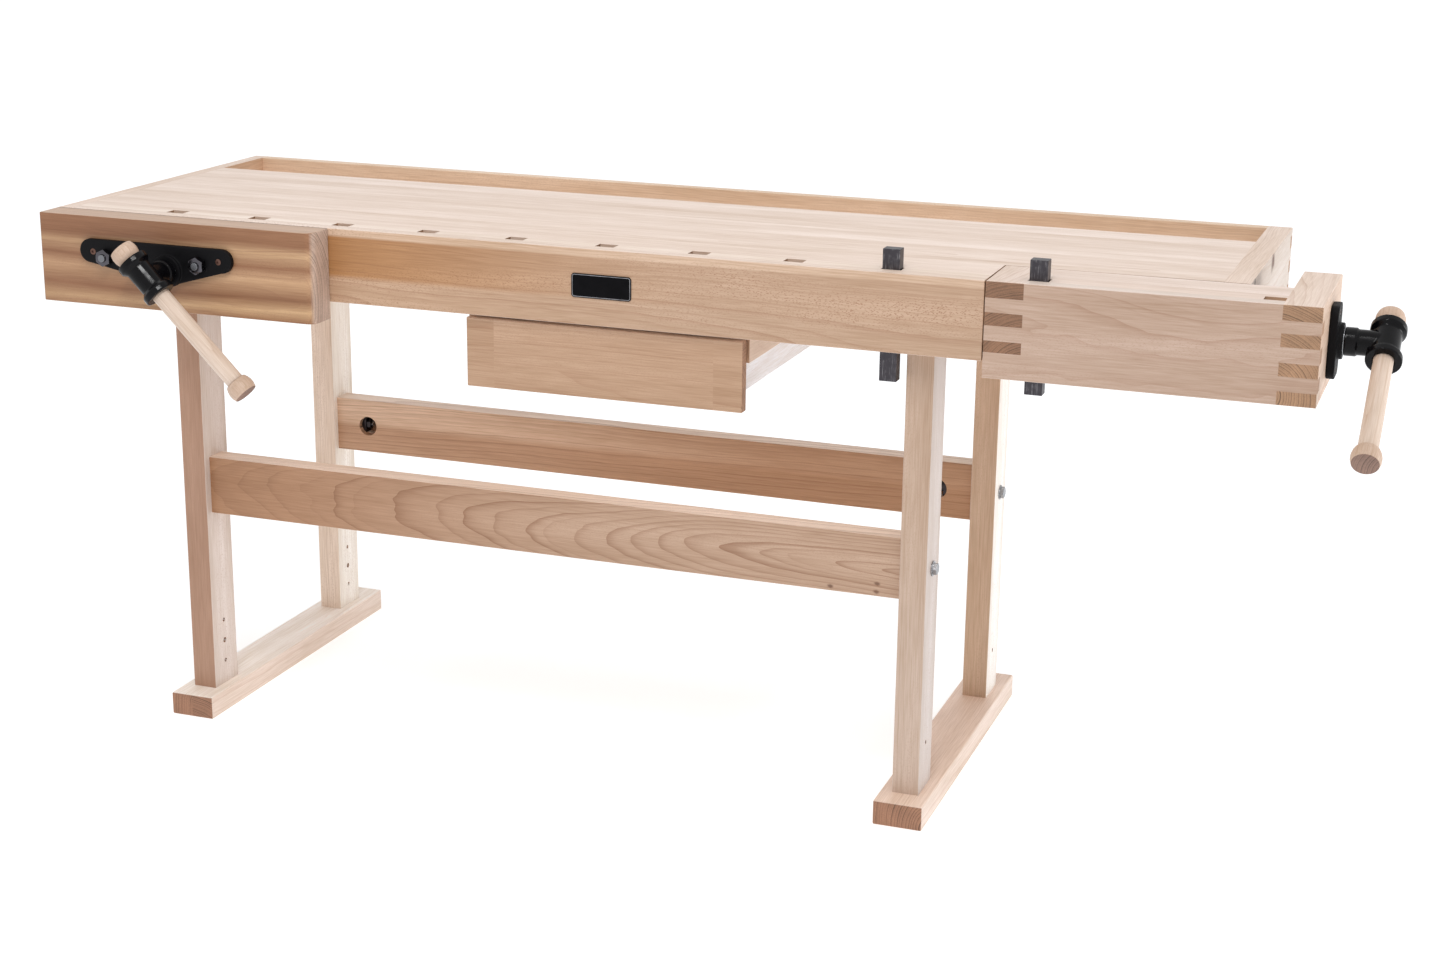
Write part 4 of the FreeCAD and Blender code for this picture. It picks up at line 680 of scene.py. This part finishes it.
zinc = plated("Zinc plated steel", "#9d9ea1", 0.26)  # silvery and bright
pocket_shaded_steel = plated("Steel darkened as painted pocket shade", "#3b3637", 0.34)  # painted shade: near black, for the shade deep in the rail's pocket, with a soft shine
rail_row = {"middle": (-0.23725, 0.06595, 0.3965), "apart": (1.2810, 0.4380), "mirrored": 1.0}
fastened("rail_bolts", rail_bolt, zinc, twist=0.5, seed=4, **rail_row)
fastened("rail_nuts", rail_nut, pocket_shaded_steel, **rail_row)
fastened(
    "top_bolts", lambda shape: bolt(shape, 0.0, TOP_BOLT_TIP), zinc, (-0.25725, 0.04895, 0.737),
    (1.2390, 0.1900), facing=(0.0, math.pi / 2, 0.0), twist=0.5, seed=6)

# ------------ slab
# The top's thick slab is edge glued from long quarter sawn beech staves, planed and sanded
# pale. Only its back edge, over the tool tray, is eased: its other edges are glued.

SLAB_STAVE = 0.042
slab_wood = board(
    "worktop_slab", "x", "Beech slab", heart=(0.2, 0.09, 0.05), lean=(0.0, 0.02, 0.01),
    ring=0.0036, wander=0.03, staves=(WHOLE, SLAB_STAVE, WHOLE), stave_shift=0.4, rings=0.5, flecks=0.15,
    face="#dcc3b0", edge="#e7d3c5", end="#b08d76", late="#b58f70")
slab_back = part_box("worktop_slab")[1].y
dressed("worktop_slab", slab_wood, arris=0.0014, planes={"x": (), "y": (slab_back,)})

# ------------ apron and dog strip
# The front apron carries the row of dog holes, cut between it and the slab, with small
# blocks glued in to part them. Its face is warmer near the top and paler below.

apron_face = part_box("front_apron")[0].y
apron_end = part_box("front_apron")[1].x
apron_wood = board(
    "front_apron", "x", "Beech apron", heart=(0.6, 0.07, 0.06), lean=(0.0, 0.008, 0.01),
    ring=0.0045, wander=0.03, rings=0.5, flecks=1.0, face="#be9b7e", edge="#e8d4c5",
    end="#a98468", late="#8f5f3e")
stained(apron_wood, "Z", 0.779, 0.790, "#aa7540", 0.9)
stained(apron_wood, "X", -0.65, 0.1, "#ba9b82", 0.93)
stained(apron_wood, "Z", 0.846, 0.850, "#d7baa1", 0.8)
dressed("front_apron", apron_wood, planes={"x": (apron_end,), "y": (apron_face,)})
spacer_wood = board(
    "dog_spacers", "x", "Beech dog strip", heart=(0.1, 0.06, 0.04), ring=0.004,
    rings=0.35, flecks=0.2, face="#dcc3b0", edge="#ecdacc", late="#b98f70")
coated("dog_spacers", spacer_wood)

# ------------ end boards and back board
# Boards across both ends and along the back close the tool tray. They meet in finger joints
# at the back corners, and the right one is thicker, for the tail vise.

END_KNOT = (0.838, 0.139, 0.847)
END_SCREW_HOLE = (0.838, -0.067, 0.853)
left_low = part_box("end_board_left")[0]
right_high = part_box("end_board_right")[1]
end_boards = {
    # board: its outer planes and its look
    "end_board_left": ({"x": (left_low.x,)}, {"face": "#d3b194", "heart": (0.1, 0.05, 0.03)}),
    "end_board_right": (
        {"x": (right_high.x,), "y": (right_high.y,)}, {"face": "#c9bbb0", "heart": (1.4, 0.08, 0.02)}),
}
for node, (planes, look) in end_boards.items():
    wood = board(
        node, "y", ring=0.004, wander=0.03, rings=0.45, flecks=0.3, edge="#e5cfbf", late="#a97f60", **look)
    if node == "end_board_right":
        knotted(wood, END_KNOT, (0.05, 0.044, 0.034), strength=1.0)
        knotted(wood, END_SCREW_HOLE, (0.03, 0.016, 0.016), colour="#3a251a", strength=1.0)
    dressed(node, wood, planes=planes)
back_wood = board(
    "back_board", "x", heart=(0.7, 0.05, 0.03), ring=0.0042, rings=0.42, flecks=0.35,
    face="#e4c6aa", edge="#e3c8ae", late="#a87c58")
dressed("back_board", back_wood)

# ------------ tray floor
# The tray's floor is beech plywood, let in under the slab's edge: its broad veneer has
# loose, wide figure.


def plywood(node, name):
    return board(
        node, "x", name, heart=(0.5, 0.9, 0.12), lean=(0.0, 0.0, 0.01), ring=0.011, wander=0.09,
        rings=0.3, flecks=0.35, face="#dcc4b0", edge="#dcc6b4", end="#b08c6c", late="#b88d6a")


coated("tray_floor", plywood("tray_floor", "Beech plywood tray"))

# ------------ name plate
# A small blank plate of black painted aluminium with a thin printed border line, glued to
# the apron.

DUST = 90.0  # dull patches of 11 mm


def painted(name, colour, roughness, pebble=0.0012, depth=0.00003, shine=0.3):
    """Paint or enamel, dusty in patches, over metal whose pebbled skin it follows."""
    material, tree, shader, where = new_material(name)
    skin_of_paint = add(tree, NOISE, {"Vector": where["Object"], "Scale": 1 / pebble, "Detail": 1.0})
    dust = add(tree, NOISE, {"Vector": where["Object"], "Scale": DUST, "Detail": 4.0})
    matt = add(tree, RANGE, {
        "Value": dust, "From Min": 0.35, "From Max": 0.75, "To Min": roughness, "To Max": roughness + 0.16})
    tint = add(tree, MIX, {"Fac": dust, "Color1": linear(colour), "Color2": linear("#100f12")})
    bump = add(tree, "ShaderNodeBump", {"Height": skin_of_paint, "Distance": depth, "Strength": 0.6})
    feed(tree, shader, {
        "Base Color": tint, "Roughness": matt, "Normal": bump, "IOR": 1.5, "Specular IOR Level": shine})
    return material


BORDER_INSET = 0.0009
BORDER_WIDE = 0.0009
plate_paint = painted("Black painted aluminium", "#030304", 0.3, shine=0.06)  # deep, dull black
border_ink = painted("Grey border ink", "#b9b8bc", 0.35)  # flat grey
badge = dressed("name_plate", plate_paint, arris=0.0005, eased="", rims="y")
badge.data.materials.append(border_ink)
shape = bmesh.new()
shape.from_mesh(badge.data)
forward = [face for face in shape.faces if face.normal.y < -0.99]
front = [max(forward, key=lambda face: face.calc_area())]
bmesh.ops.inset_region(shape, faces=front, thickness=BORDER_INSET)
border = bmesh.ops.inset_region(shape, faces=front, thickness=BORDER_WIDE)["faces"]
for face in border:
    face.material_index = 1
shape.to_mesh(badge.data)
shape.free()

# ------------ front jaw
# The front vise's loose jaw is one thick piece of reddish beech with soft paler bands, its
# free end rounded over. It rides on two bright steel rods.

BANDS = (
    # share of the jaw's height, from its foot, and colour
    (0.06, "#906442"), (0.17, "#c59f77"), (0.31, "#8b5f40"), (0.52, "#c69e79"),
    (0.66, "#8d6142"), (0.82, "#c6a07a"), (0.92, "#8e6243"), (1.0, "#95694a"),
)
BAND_WAVES = (3.0, 9.0, 9.0)  # 330 by 110 mm
BAND_WAVER = 0.16  # of the jaw's height
jaw_low, jaw_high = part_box("front_jaw")
jaw_wood = board(
    "front_jaw", "x", "Red beech jaw", heart=(0.3, 0.12, 0.03), lean=(0.0, 0.01, 0.012),
    ring=0.0048, wander=0.03, rings=0.6, flecks=0.4, face="#b08060", edge="#c2a48d",
    end="#bfa493", late="#7c4d32")
tree = jaw_wood.node_tree
where = add(tree, "ShaderNodeTexCoord").outputs["Object"]
slow = add(tree, "ShaderNodeMapping", {"Vector": where, "Scale": BAND_WAVES})
wave = add(tree, NOISE, {"Vector": slow, "Scale": 1.0, "Detail": 1.0})
up = add(tree, AXES, where).outputs["Z"]
height = add(tree, RANGE, {"Value": up, "From Min": jaw_low.z, "From Max": jaw_high.z})
wavering = add(tree, NUMBER, wave, BAND_WAVER, height, operation="MULTIPLY_ADD")
bands = add(tree, "ShaderNodeValToRGB", {"Fac": wavering})
ramp = bands.color_ramp
while len(ramp.elements) < len(BANDS):
    ramp.elements.new(0.5)
for stop, (share, colour) in zip(ramp.elements, BANDS):
    stop.position = share
    stop.color = linear(colour)
feed(tree, grain_of(jaw_wood), {"Face": bands})
stained(jaw_wood, "X", -0.62, -1.02, "#80543a", 0.28)
# painted shade: a dark line along the back of the jaw's top, for the shadow in the gap where the jaw closes
# on the bench
stained(jaw_wood, "Y", jaw_high.y - 0.0060, jaw_high.y - 0.0045, "#5f4534", 0.85, side="Edge")
dressed("front_jaw", jaw_wood, arris=0.0022, rims="z")

# ------------ front vise ironwork
# A cast plate under rough black enamel takes the screw's thrust. Two rods with nuts on their
# ends, and two wood screws, hold it. The rods' sleeves and the screw's nut are behind the apron.

CAST_GRAIN = 0.0009
CAST_SMOOTHING = 10


def cast(node, material):
    """A CAD casting as one skin, its inner corners filled and its edges rounded as they cast."""
    work = working_object(clean_copy(node))
    whole = work.modifiers.new("Whole", "REMESH")
    whole.mode = "VOXEL"
    whole.voxel_size = CAST_GRAIN
    whole.adaptivity = 0.0
    soft = work.modifiers.new("Soft", "SMOOTH")
    soft.factor = 0.5
    soft.iterations = CAST_SMOOTHING
    piece = finished(work, node + "_cast", node, [material])
    piece.data.shade_smooth()


# sand cast and dull, with a coarse pebbled skin
dull_enamel = painted("Rough black cast iron", "#040405", 0.5, pebble=0.0016, depth=0.0002, shine=0.13)
cast("front_plate", dull_enamel)
dressed("front_guide_sleeves", dull_enamel, arris=0.0006, eased="all")
dressed("front_nut", dull_enamel, arris=0.0008, eased="all")
ground = plated("Ground steel", "#77787c", 0.26)  # bright grey, as it comes off the wheel
dressed("front_guide_rods", ground, arris=0.0006, eased="all")

FACING_FRONT = (0.0, 0.0, -math.pi / 2)
ROD_NUT_FLATS = 0.024
ROD_NUT_HIGH = 0.012
ROD_BORE = 0.0122
zinc_darkened_for_reflection = plated("Zinc plate darkened as a painted reflection", "#57555a", 0.24)  # painted reflection: darkened to show the dark room that the nuts reflect
fastened(
    "front_rod_nuts", lambda shape: nut(shape, 0.0, ROD_NUT_HIGH, ROD_NUT_FLATS, ROD_BORE), zinc_darkened_for_reflection,
    (-0.84225, -0.29845, 0.7975), (0.169, 0.0), facing=FACING_FRONT, twist=0.15, seed=2)

SCREW_HEAD = 0.0100
SCREW_HEAD_HIGH = 0.0040
SCREW_SUNK = 0.0003  # under the plate's face
SCREW_SHANK = 0.0050
SCREW_LONG = 0.0340
SCREW_POINT = 0.006
SCREW_SOCKET = 0.0042
SOCKET_FLOOR = -0.0022


def wood_screw(shape):
    """A flat headed wood screw with a hexagon socket, its shank along X."""
    head = SCREW_HEAD / 2
    shank = SCREW_SHANK / 2
    top = -SCREW_SUNK
    skin(shape, [
        level(SOCKET_FLOOR, 0.0), hexed(SOCKET_FLOOR, SCREW_SOCKET), hexed(top, SCREW_SOCKET),
        level(top, head - 0.0010), level(top - 0.0005, head), level(top - 0.0015, head),
        level(-SCREW_HEAD_HIGH, shank), level(SCREW_POINT - SCREW_LONG, shank), level(-SCREW_LONG, 0.0)])


browned = plated("Browned wood screw", "#6b5148", 0.38)  # brown, with little shine
fastened(
    "front_plate_screws", wood_screw, browned, (-0.83775, -0.29845, 0.8045), (0.228, 0.0),
    facing=FACING_FRONT, twist=0.5, seed=9)

# ------------ vise screws
# Both vises run on a steel screw with a trapezoidal thread, cut over its whole length. Rings
# behind the plates hold the screws, and a bright washer takes the thrust in front.

THREAD_INPUTS = {
    "Float": ["Long", "Radius", "Pitch", "Depth"], "Vector": ["Facing", "Start"], "Material": ["Finish"],
}
STEPS_A_TURN = 28
CORE_SIDES = 56
THREAD_FOOT = 0.66  # width of the thread at its foot and crest, as shares of its pitch
THREAD_CREST = 0.36
HALF_UP = (0.0, 0.0, 0.5)


def vise_thread():
    """A thread of one start swept along a helix about Z, on a round core, then laid on its axis."""
    tree, given = new_tree("vise thread", "GeometryNodeTree", THREAD_INPUTS, {"Geometry": ["Geometry"]})
    core = add(tree, NUMBER, given["Radius"], given["Depth"], operation="SUBTRACT")
    thread_line = add(tree, NUMBER, given["Depth"], -0.5, given["Radius"], operation="MULTIPLY_ADD")
    spare = add(tree, NUMBER, given["Long"], given["Pitch"], operation="SUBTRACT")
    turns = add(tree, NUMBER, spare, given["Pitch"], operation="DIVIDE")
    helix = add(tree, "GeometryNodeCurveSpiral", {
        "Resolution": STEPS_A_TURN, "Rotations": turns, "Start Radius": thread_line,
        "End Radius": thread_line, "Height": spare})
    upright = add(tree, "GeometryNodeSetCurveNormal", {"Curve": helix}, mode="Z_UP")
    foot = add(tree, NUMBER, given["Pitch"], THREAD_FOOT, operation="MULTIPLY")
    crest = add(tree, NUMBER, given["Pitch"], THREAD_CREST, operation="MULTIPLY")
    tooth = add(tree, "GeometryNodeCurvePrimitiveQuadrilateral", {
        "Height": given["Depth"], "Bottom Width": foot, "Top Width": crest, "Offset": 0.0}, mode="TRAPEZOID")
    outward = add(tree, MOVE, {"Geometry": tooth, "Rotation": (0.0, 0.0, math.pi / 2)})
    swept = add(tree, "GeometryNodeCurveToMesh", {
        "Curve": upright, "Profile Curve": outward, "Fill Caps": True})
    lift = add(tree, VECTOR, HALF_UP, {"Scale": given["Pitch"]}, operation="SCALE")
    lifted = add(tree, MOVE, {"Geometry": swept, "Translation": lift})
    bar = add(tree, "GeometryNodeMeshCylinder", {
        "Vertices": CORE_SIDES, "Radius": core, "Depth": given["Long"]})
    centre = add(tree, VECTOR, HALF_UP, {"Scale": given["Long"]}, operation="SCALE")
    raised = add(tree, MOVE, {"Geometry": bar, "Translation": centre})
    joined = add(tree, "GeometryNodeJoinGeometry", raised)
    tree.links.new(lifted.outputs[0], joined.inputs[0])
    turn = add(tree, "FunctionNodeEulerToRotation", given["Facing"])
    laid = add(tree, MOVE, {"Geometry": joined, "Translation": given["Start"], "Rotation": turn})
    solid_end(tree, laid, given["Finish"])
    return tree


THREAD = vise_thread()
SCREW_RADIUS = 0.014
THREAD_PITCH = 0.006
THREAD_DEPTH = 0.0028
dark_steel = plated("Oiled turned steel", "#7d7c7e", 0.3)  # grey, with an oily shine
screws = {
    # screw: facing, start and length
    "front": ((-math.pi / 2, 0.0, 0.0), (-0.81575, -0.33845, 0.7835), 0.3574),
    "tail": ((0.0, math.pi / 2, 0.0), (0.58525, -0.10905, 0.789), 0.424),
}
for side, (facing, start, long) in screws.items():
    screw = grown(side + "_screw_thread", THREAD, {
        "Long": long, "Radius": SCREW_RADIUS, "Pitch": THREAD_PITCH, "Depth": THREAD_DEPTH,
        "Facing": facing, "Start": start, "Finish": dark_steel}, side + "_screw")
    screw.data.shade_smooth()
    screw.data.set_sharp_from_angle(angle=SHARP)
    dressed(side + "_screw_rings", zinc, arris=0.0004, eased="all")

# ------------ handles
# Each screw ends in a cast socket under black enamel, in which a turned beech rod slides.
# Flat faced knobs keep the rod in. Rods and knobs are sanded and left pale.

HANDLES = {
    # handle: the way its rod runs, and its socket's centre
    "front": ((-0.70711, 0.0, 0.70711), (-0.81575, -0.35845, 0.7835)),
    "tail": ((0.0, 0.86603, 0.5), (1.02925, -0.10905, 0.789)),
}
# thick glossy enamel that evens out the casting's skin
enamel = painted("Black enamelled cast iron", "#030304", 0.12, pebble=0.003, depth=0.00002, shine=0.14)
for side, (way, socket) in HANDLES.items():
    cast(side + "_handle_head", enamel)
    turn = tuple(Vector(way).to_track_quat("X", "Z").to_euler())
    rod_wood = beech(
        "Turned beech rod " + side, turn, socket, heart=(0.0, 0.03, 0.045), ring=0.0035, wander=0.01,
        rings=0.35, flecks=0.35, face="#d8c3b2", edge="#d8c3b2", end="#a5806a", late="#ab8464")
    # the knobs' end grain is partly its own darker colour and partly painted shade, for flat ends that face
    # down, away from the light
    knob_wood = beech(
        "Turned beech knob " + side, turn, socket, heart=(0.0, 0.05, 0.02), ring=0.0032, wander=0.01,
        rings=0.45, flecks=0.5, face="#c7ac97", edge="#c7ac97", end="#8b6e60", late="#9c7250")
    dressed(side + "_handle_rod", rod_wood, arris=0.0008, eased="all")
    dressed(side + "_handle_knobs", knob_wood, arris=0.0012, eased="all")

# ------------ tail vise box
# The sliding box at the right: its front board is finger jointed to the jaw block and to the
# end cap, whose end grain shows in the joints. Two boards close it over and under the screw.

block_low, block_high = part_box("tail_jaw_block")
cap_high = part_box("tail_end_cap")[1]
tail_pieces = {
    # piece: the axis of its grain, its outer planes and its look
    "tail_front_board": ("x", {"x": (), "y": (block_low.y,)}, {
        "heart": (0.4, 0.11, 0.02), "lean": (0.0, 0.03, 0.01), "ring": 0.0065, "wander": 0.06,
        "flecks": 0.4, "face": "#ba9e8b", "edge": "#e0cfc3", "late": "#94694d"}),
    "tail_dog_board": ("x", {"x": (), "y": ()}, {
        "heart": (0.9, 0.05, 0.04), "edge": "#e3cec0", "rings": 0.35}),
    "tail_top_board": ("x", {"x": (), "y": (block_high.y,)}, {"edge": "#e3cfc2", "rings": 0.35}),
    "tail_bottom_board": ("x", {"x": (), "y": (block_high.y,)}, {"rings": 0.3}),
    "tail_jaw_block": ("y", {"x": (block_low.x,), "y": (block_low.y, block_high.y)}, {
        "heart": (0.2, 0.035, 0.07), "ring": 0.0034, "end": "#8b664d", "edge": "#e1ccbe"}),
    "tail_end_cap": ("y", {"x": (cap_high.x,), "y": (block_low.y, cap_high.y)}, {
        "heart": (0.7, -0.04, 0.06), "ring": 0.0036, "end": "#a68163", "edge": "#e4cebe",
        "face": "#d6bba6"}),
}
for node, (grain_way, planes, look) in tail_pieces.items():
    dressed(node, board(node, grain_way, **look), planes=planes)
for node in ("tail_guide_bar", "tail_guide_saddle", "tail_guide_strip"):
    dressed(node, board(node, "x", rings=0.35), arris=0.0012)

# ------------ tail vise ironwork
# A plate like a rounded oblong takes this screw's thrust on the end cap. Its nut's flange
# is screwed to the end board.

cast("tail_plate", dull_enamel)
dressed("tail_nut", dull_enamel, arris=0.0008, eased="all")
TAIL_SCREWS_APART = 0.082


def upright_pair(shape):
    """Two wood screws one over the other, heads towards +X."""
    for offset in (-TAIL_SCREWS_APART / 2, TAIL_SCREWS_APART / 2):
        first = len(shape.verts)
        wood_screw(shape)
        shape.verts.ensure_lookup_table()
        for vertex in shape.verts[first:]:
            vertex.co.z += offset


fastened("tail_plate_screws", upright_pair, browned, (0.96425, -0.10905, 0.789))

# ------------ drawer
# A beech drawer on wooden runners hangs under the slab. Its front is glued up from short
# staves, its bottom is plywood in grooves.

drawer_looks = {
    # piece: the axis of its grain and its look
    "drawer_front": ("x", {
        "heart": (0.2, 0.08, 0.05), "staves": (0.36, WHOLE, 0.034), "stave_shift": 0.5, "rings": 0.55,
        "flecks": 0.45, "face": "#b69377", "edge": "#d2b49d", "end": "#a67e62", "late": "#96694a"}),
    "drawer_sides": ("y", {
        "heart": (0.2, 0.05, 0.05), "rings": 0.25, "face": "#ebe8e8", "edge": "#e0cdbf"}),
    "drawer_back": ("x", {"heart": (0.3, 0.05, 0.05), "rings": 0.25}),
    "drawer_hangers": ("y", {"heart": (0.8, 0.05, 0.05), "rings": 0.3, "face": "#d9bfa9"}),
}
for node, (grain_way, look) in drawer_looks.items():
    dressed(node, board(node, grain_way, **look), arris=0.0012)
coated("drawer_bottom", plywood("drawer_bottom", "Beech plywood drawer"))

# ------------ bench dogs
# Two square steel dogs, blackened in the forge and scratched by use, with bright worn
# edges. A bowed leaf spring on the left side of each grips its hole.

SCRATCHES = (1400.0, 1400.0, 45.0)  # 0.7 mm wide and 22 mm long, coarse enough to show
RUBBED = 110.0  # rubbed patches of 9 mm


def blackened(name, colour, bright_colour, roughness):
    """Blackened steel: dark grey with long fine scratches that show the bright metal."""
    material, tree, shader, where = new_material(name)
    drawn = add(tree, "ShaderNodeMapping", {"Vector": where["Object"], "Scale": SCRATCHES})
    scratch = add(tree, NOISE, {"Vector": drawn, "Scale": 1.0, "Detail": 4.0})
    patch = add(tree, NOISE, {"Vector": where["Object"], "Scale": RUBBED, "Detail": 3.0})
    lines = add(tree, RANGE, {"Value": scratch, "From Min": 0.5, "From Max": 0.75})
    rubbed = add(tree, RANGE, {"Value": patch, "From Min": 0.4, "From Max": 0.7})
    bare = add(tree, NUMBER, lines, rubbed, operation="MULTIPLY")
    tint = add(tree, MIX, {"Fac": bare, "Color1": linear(colour), "Color2": linear(bright_colour)})
    matt = add(tree, RANGE, {"Value": scratch, "To Min": roughness - 0.1, "To Max": roughness + 0.12})
    bump = add(tree, "ShaderNodeBump", {"Height": scratch, "Distance": 0.00003, "Strength": 0.6})
    feed(tree, shader, {"Base Color": tint, "Roughness": matt, "Normal": bump, "Metallic": 1.0})
    return material


dog_steel = blackened("Blackened steel", "#464347", "#a5a3a6", 0.42)
worn_edge = blackened("Worn steel edge", "#96949a", "#c4c3c8", 0.34)
for node in ("dog_bench", "dog_vise"):
    dressed(node, dog_steel, arris=0.0012, eased="all", worn=worn_edge)

# ------------ studio
# A matt floor that fades into white, lit by a narrow strip lamp high at the front, a broad
# soft one at the right and the white room. The camera stands to the right, above the top.

FLOOR_HALF = 40.0
FLOOR_TONE = (0.845, 0.86, 0.88, 1.0)
FILL_GLOW = 0.44  # what the floor throws back up at the bench
SEEN_GLOW = 0.43  # what lifts the floor to white where it is seen
AMBIENT_LOW = 0.32  # the room's light from the horizon, and from overhead
AMBIENT_HIGH = 1.0
WHITE = (1.0, 1.0, 1.0, 1.0)


def seen_directly(tree):
    """1 for rays from the camera or off something glossy or clear, 0 for light on its way."""
    path = add(tree, "ShaderNodeLightPath").outputs
    shiny = add(tree, NUMBER, path["Is Camera Ray"], path["Is Glossy Ray"], operation="MAXIMUM")
    return add(tree, NUMBER, shiny, path["Is Transmission Ray"], operation="MAXIMUM")


floor_mesh = bpy.data.meshes.new("studio_floor")
corners = [(x * FLOOR_HALF, y * FLOOR_HALF, 0.0) for x, y in ((-1, -1), (1, -1), (1, 1), (-1, 1))]
floor_mesh.from_pydata(corners, [], [(0, 1, 2, 3)])
floor = placed("studio_floor", floor_mesh)
paint = bpy.data.materials.new("White studio floor")
paint.use_nodes = True
tree = paint.node_tree
matt = add(tree, "ShaderNodeBsdfDiffuse", {"Color": FLOOR_TONE})
strength = add(tree, RANGE, {"Value": seen_directly(tree), "To Min": FILL_GLOW, "To Max": SEEN_GLOW})
glow = add(tree, "ShaderNodeEmission", {"Color": WHITE, "Strength": strength})
both = add(tree, "ShaderNodeAddShader", matt, glow)
feed(tree, tree.nodes["Material Output"], {"Surface": both})
floor_mesh.materials.append(paint)

world = bpy.data.worlds.new("White studio")
bpy.context.scene.world = world
world.use_nodes = True
tree = world.node_tree
where = add(tree, "ShaderNodeTexCoord").outputs["Generated"]
up = add(tree, AXES, where).outputs["Z"]
ambient = add(tree, RANGE, {"Value": up, "To Min": AMBIENT_LOW, "To Max": AMBIENT_HIGH})
backdrop = add(tree, RANGE, {"Value": seen_directly(tree), "To Min": ambient, "To Max": 1.0})
feed(tree, tree.nodes["Background"], {"Strength": backdrop, "Color": WHITE})

LAMPS = {
    # name: place, aim, roll, width, height, watts
    "key_softbox": ((0.35, -2.0, 3.0), (-0.8, -0.35, 0.8), math.radians(37), 1.6, 0.16, 34.0),
    "right_softbox": ((3.3, 0.5, 0.9), (0.0, 0.1, 0.45), 0.0, 1.4, 1.1, 27.0),
}
for name, (place, aim, roll, width, height, watts) in LAMPS.items():
    lamp = bpy.data.lights.new(name, "AREA")
    lamp.shape = "RECTANGLE"
    lamp.size = width
    lamp.size_y = height
    lamp.energy = watts
    stand = placed(name, lamp)
    stand.location = place
    aimed = (Vector(aim) - Vector(place)).to_track_quat("-Z", "Y")
    stand.rotation_euler = (aimed @ Quaternion((0.0, 0.0, 1.0), roll)).to_euler()

CAMERA_PLACE = (1.23665, -3.44855, 1.5136)
CAMERA_HEADING = 0.3427
CAMERA_DOWN = 0.2825
CAMERA_ROLL = 0.0124
CAMERA_LENS = 58.97  # mm, over a sensor 36 mm wide
camera_data = bpy.data.cameras.new("camera")
camera_data.sensor_width = 36.0
camera_data.lens = CAMERA_LENS
camera = placed("camera", camera_data)
turn = (
    Matrix.Rotation(CAMERA_HEADING, 4, "Z")
    @ Matrix.Rotation(math.pi / 2 - CAMERA_DOWN, 4, "X")
    @ Matrix.Rotation(CAMERA_ROLL, 4, "Z")
)
camera.matrix_world = Matrix.Translation(CAMERA_PLACE) @ turn
bpy.context.scene.camera = camera
bpy.context.scene.view_settings.view_transform = "Standard"
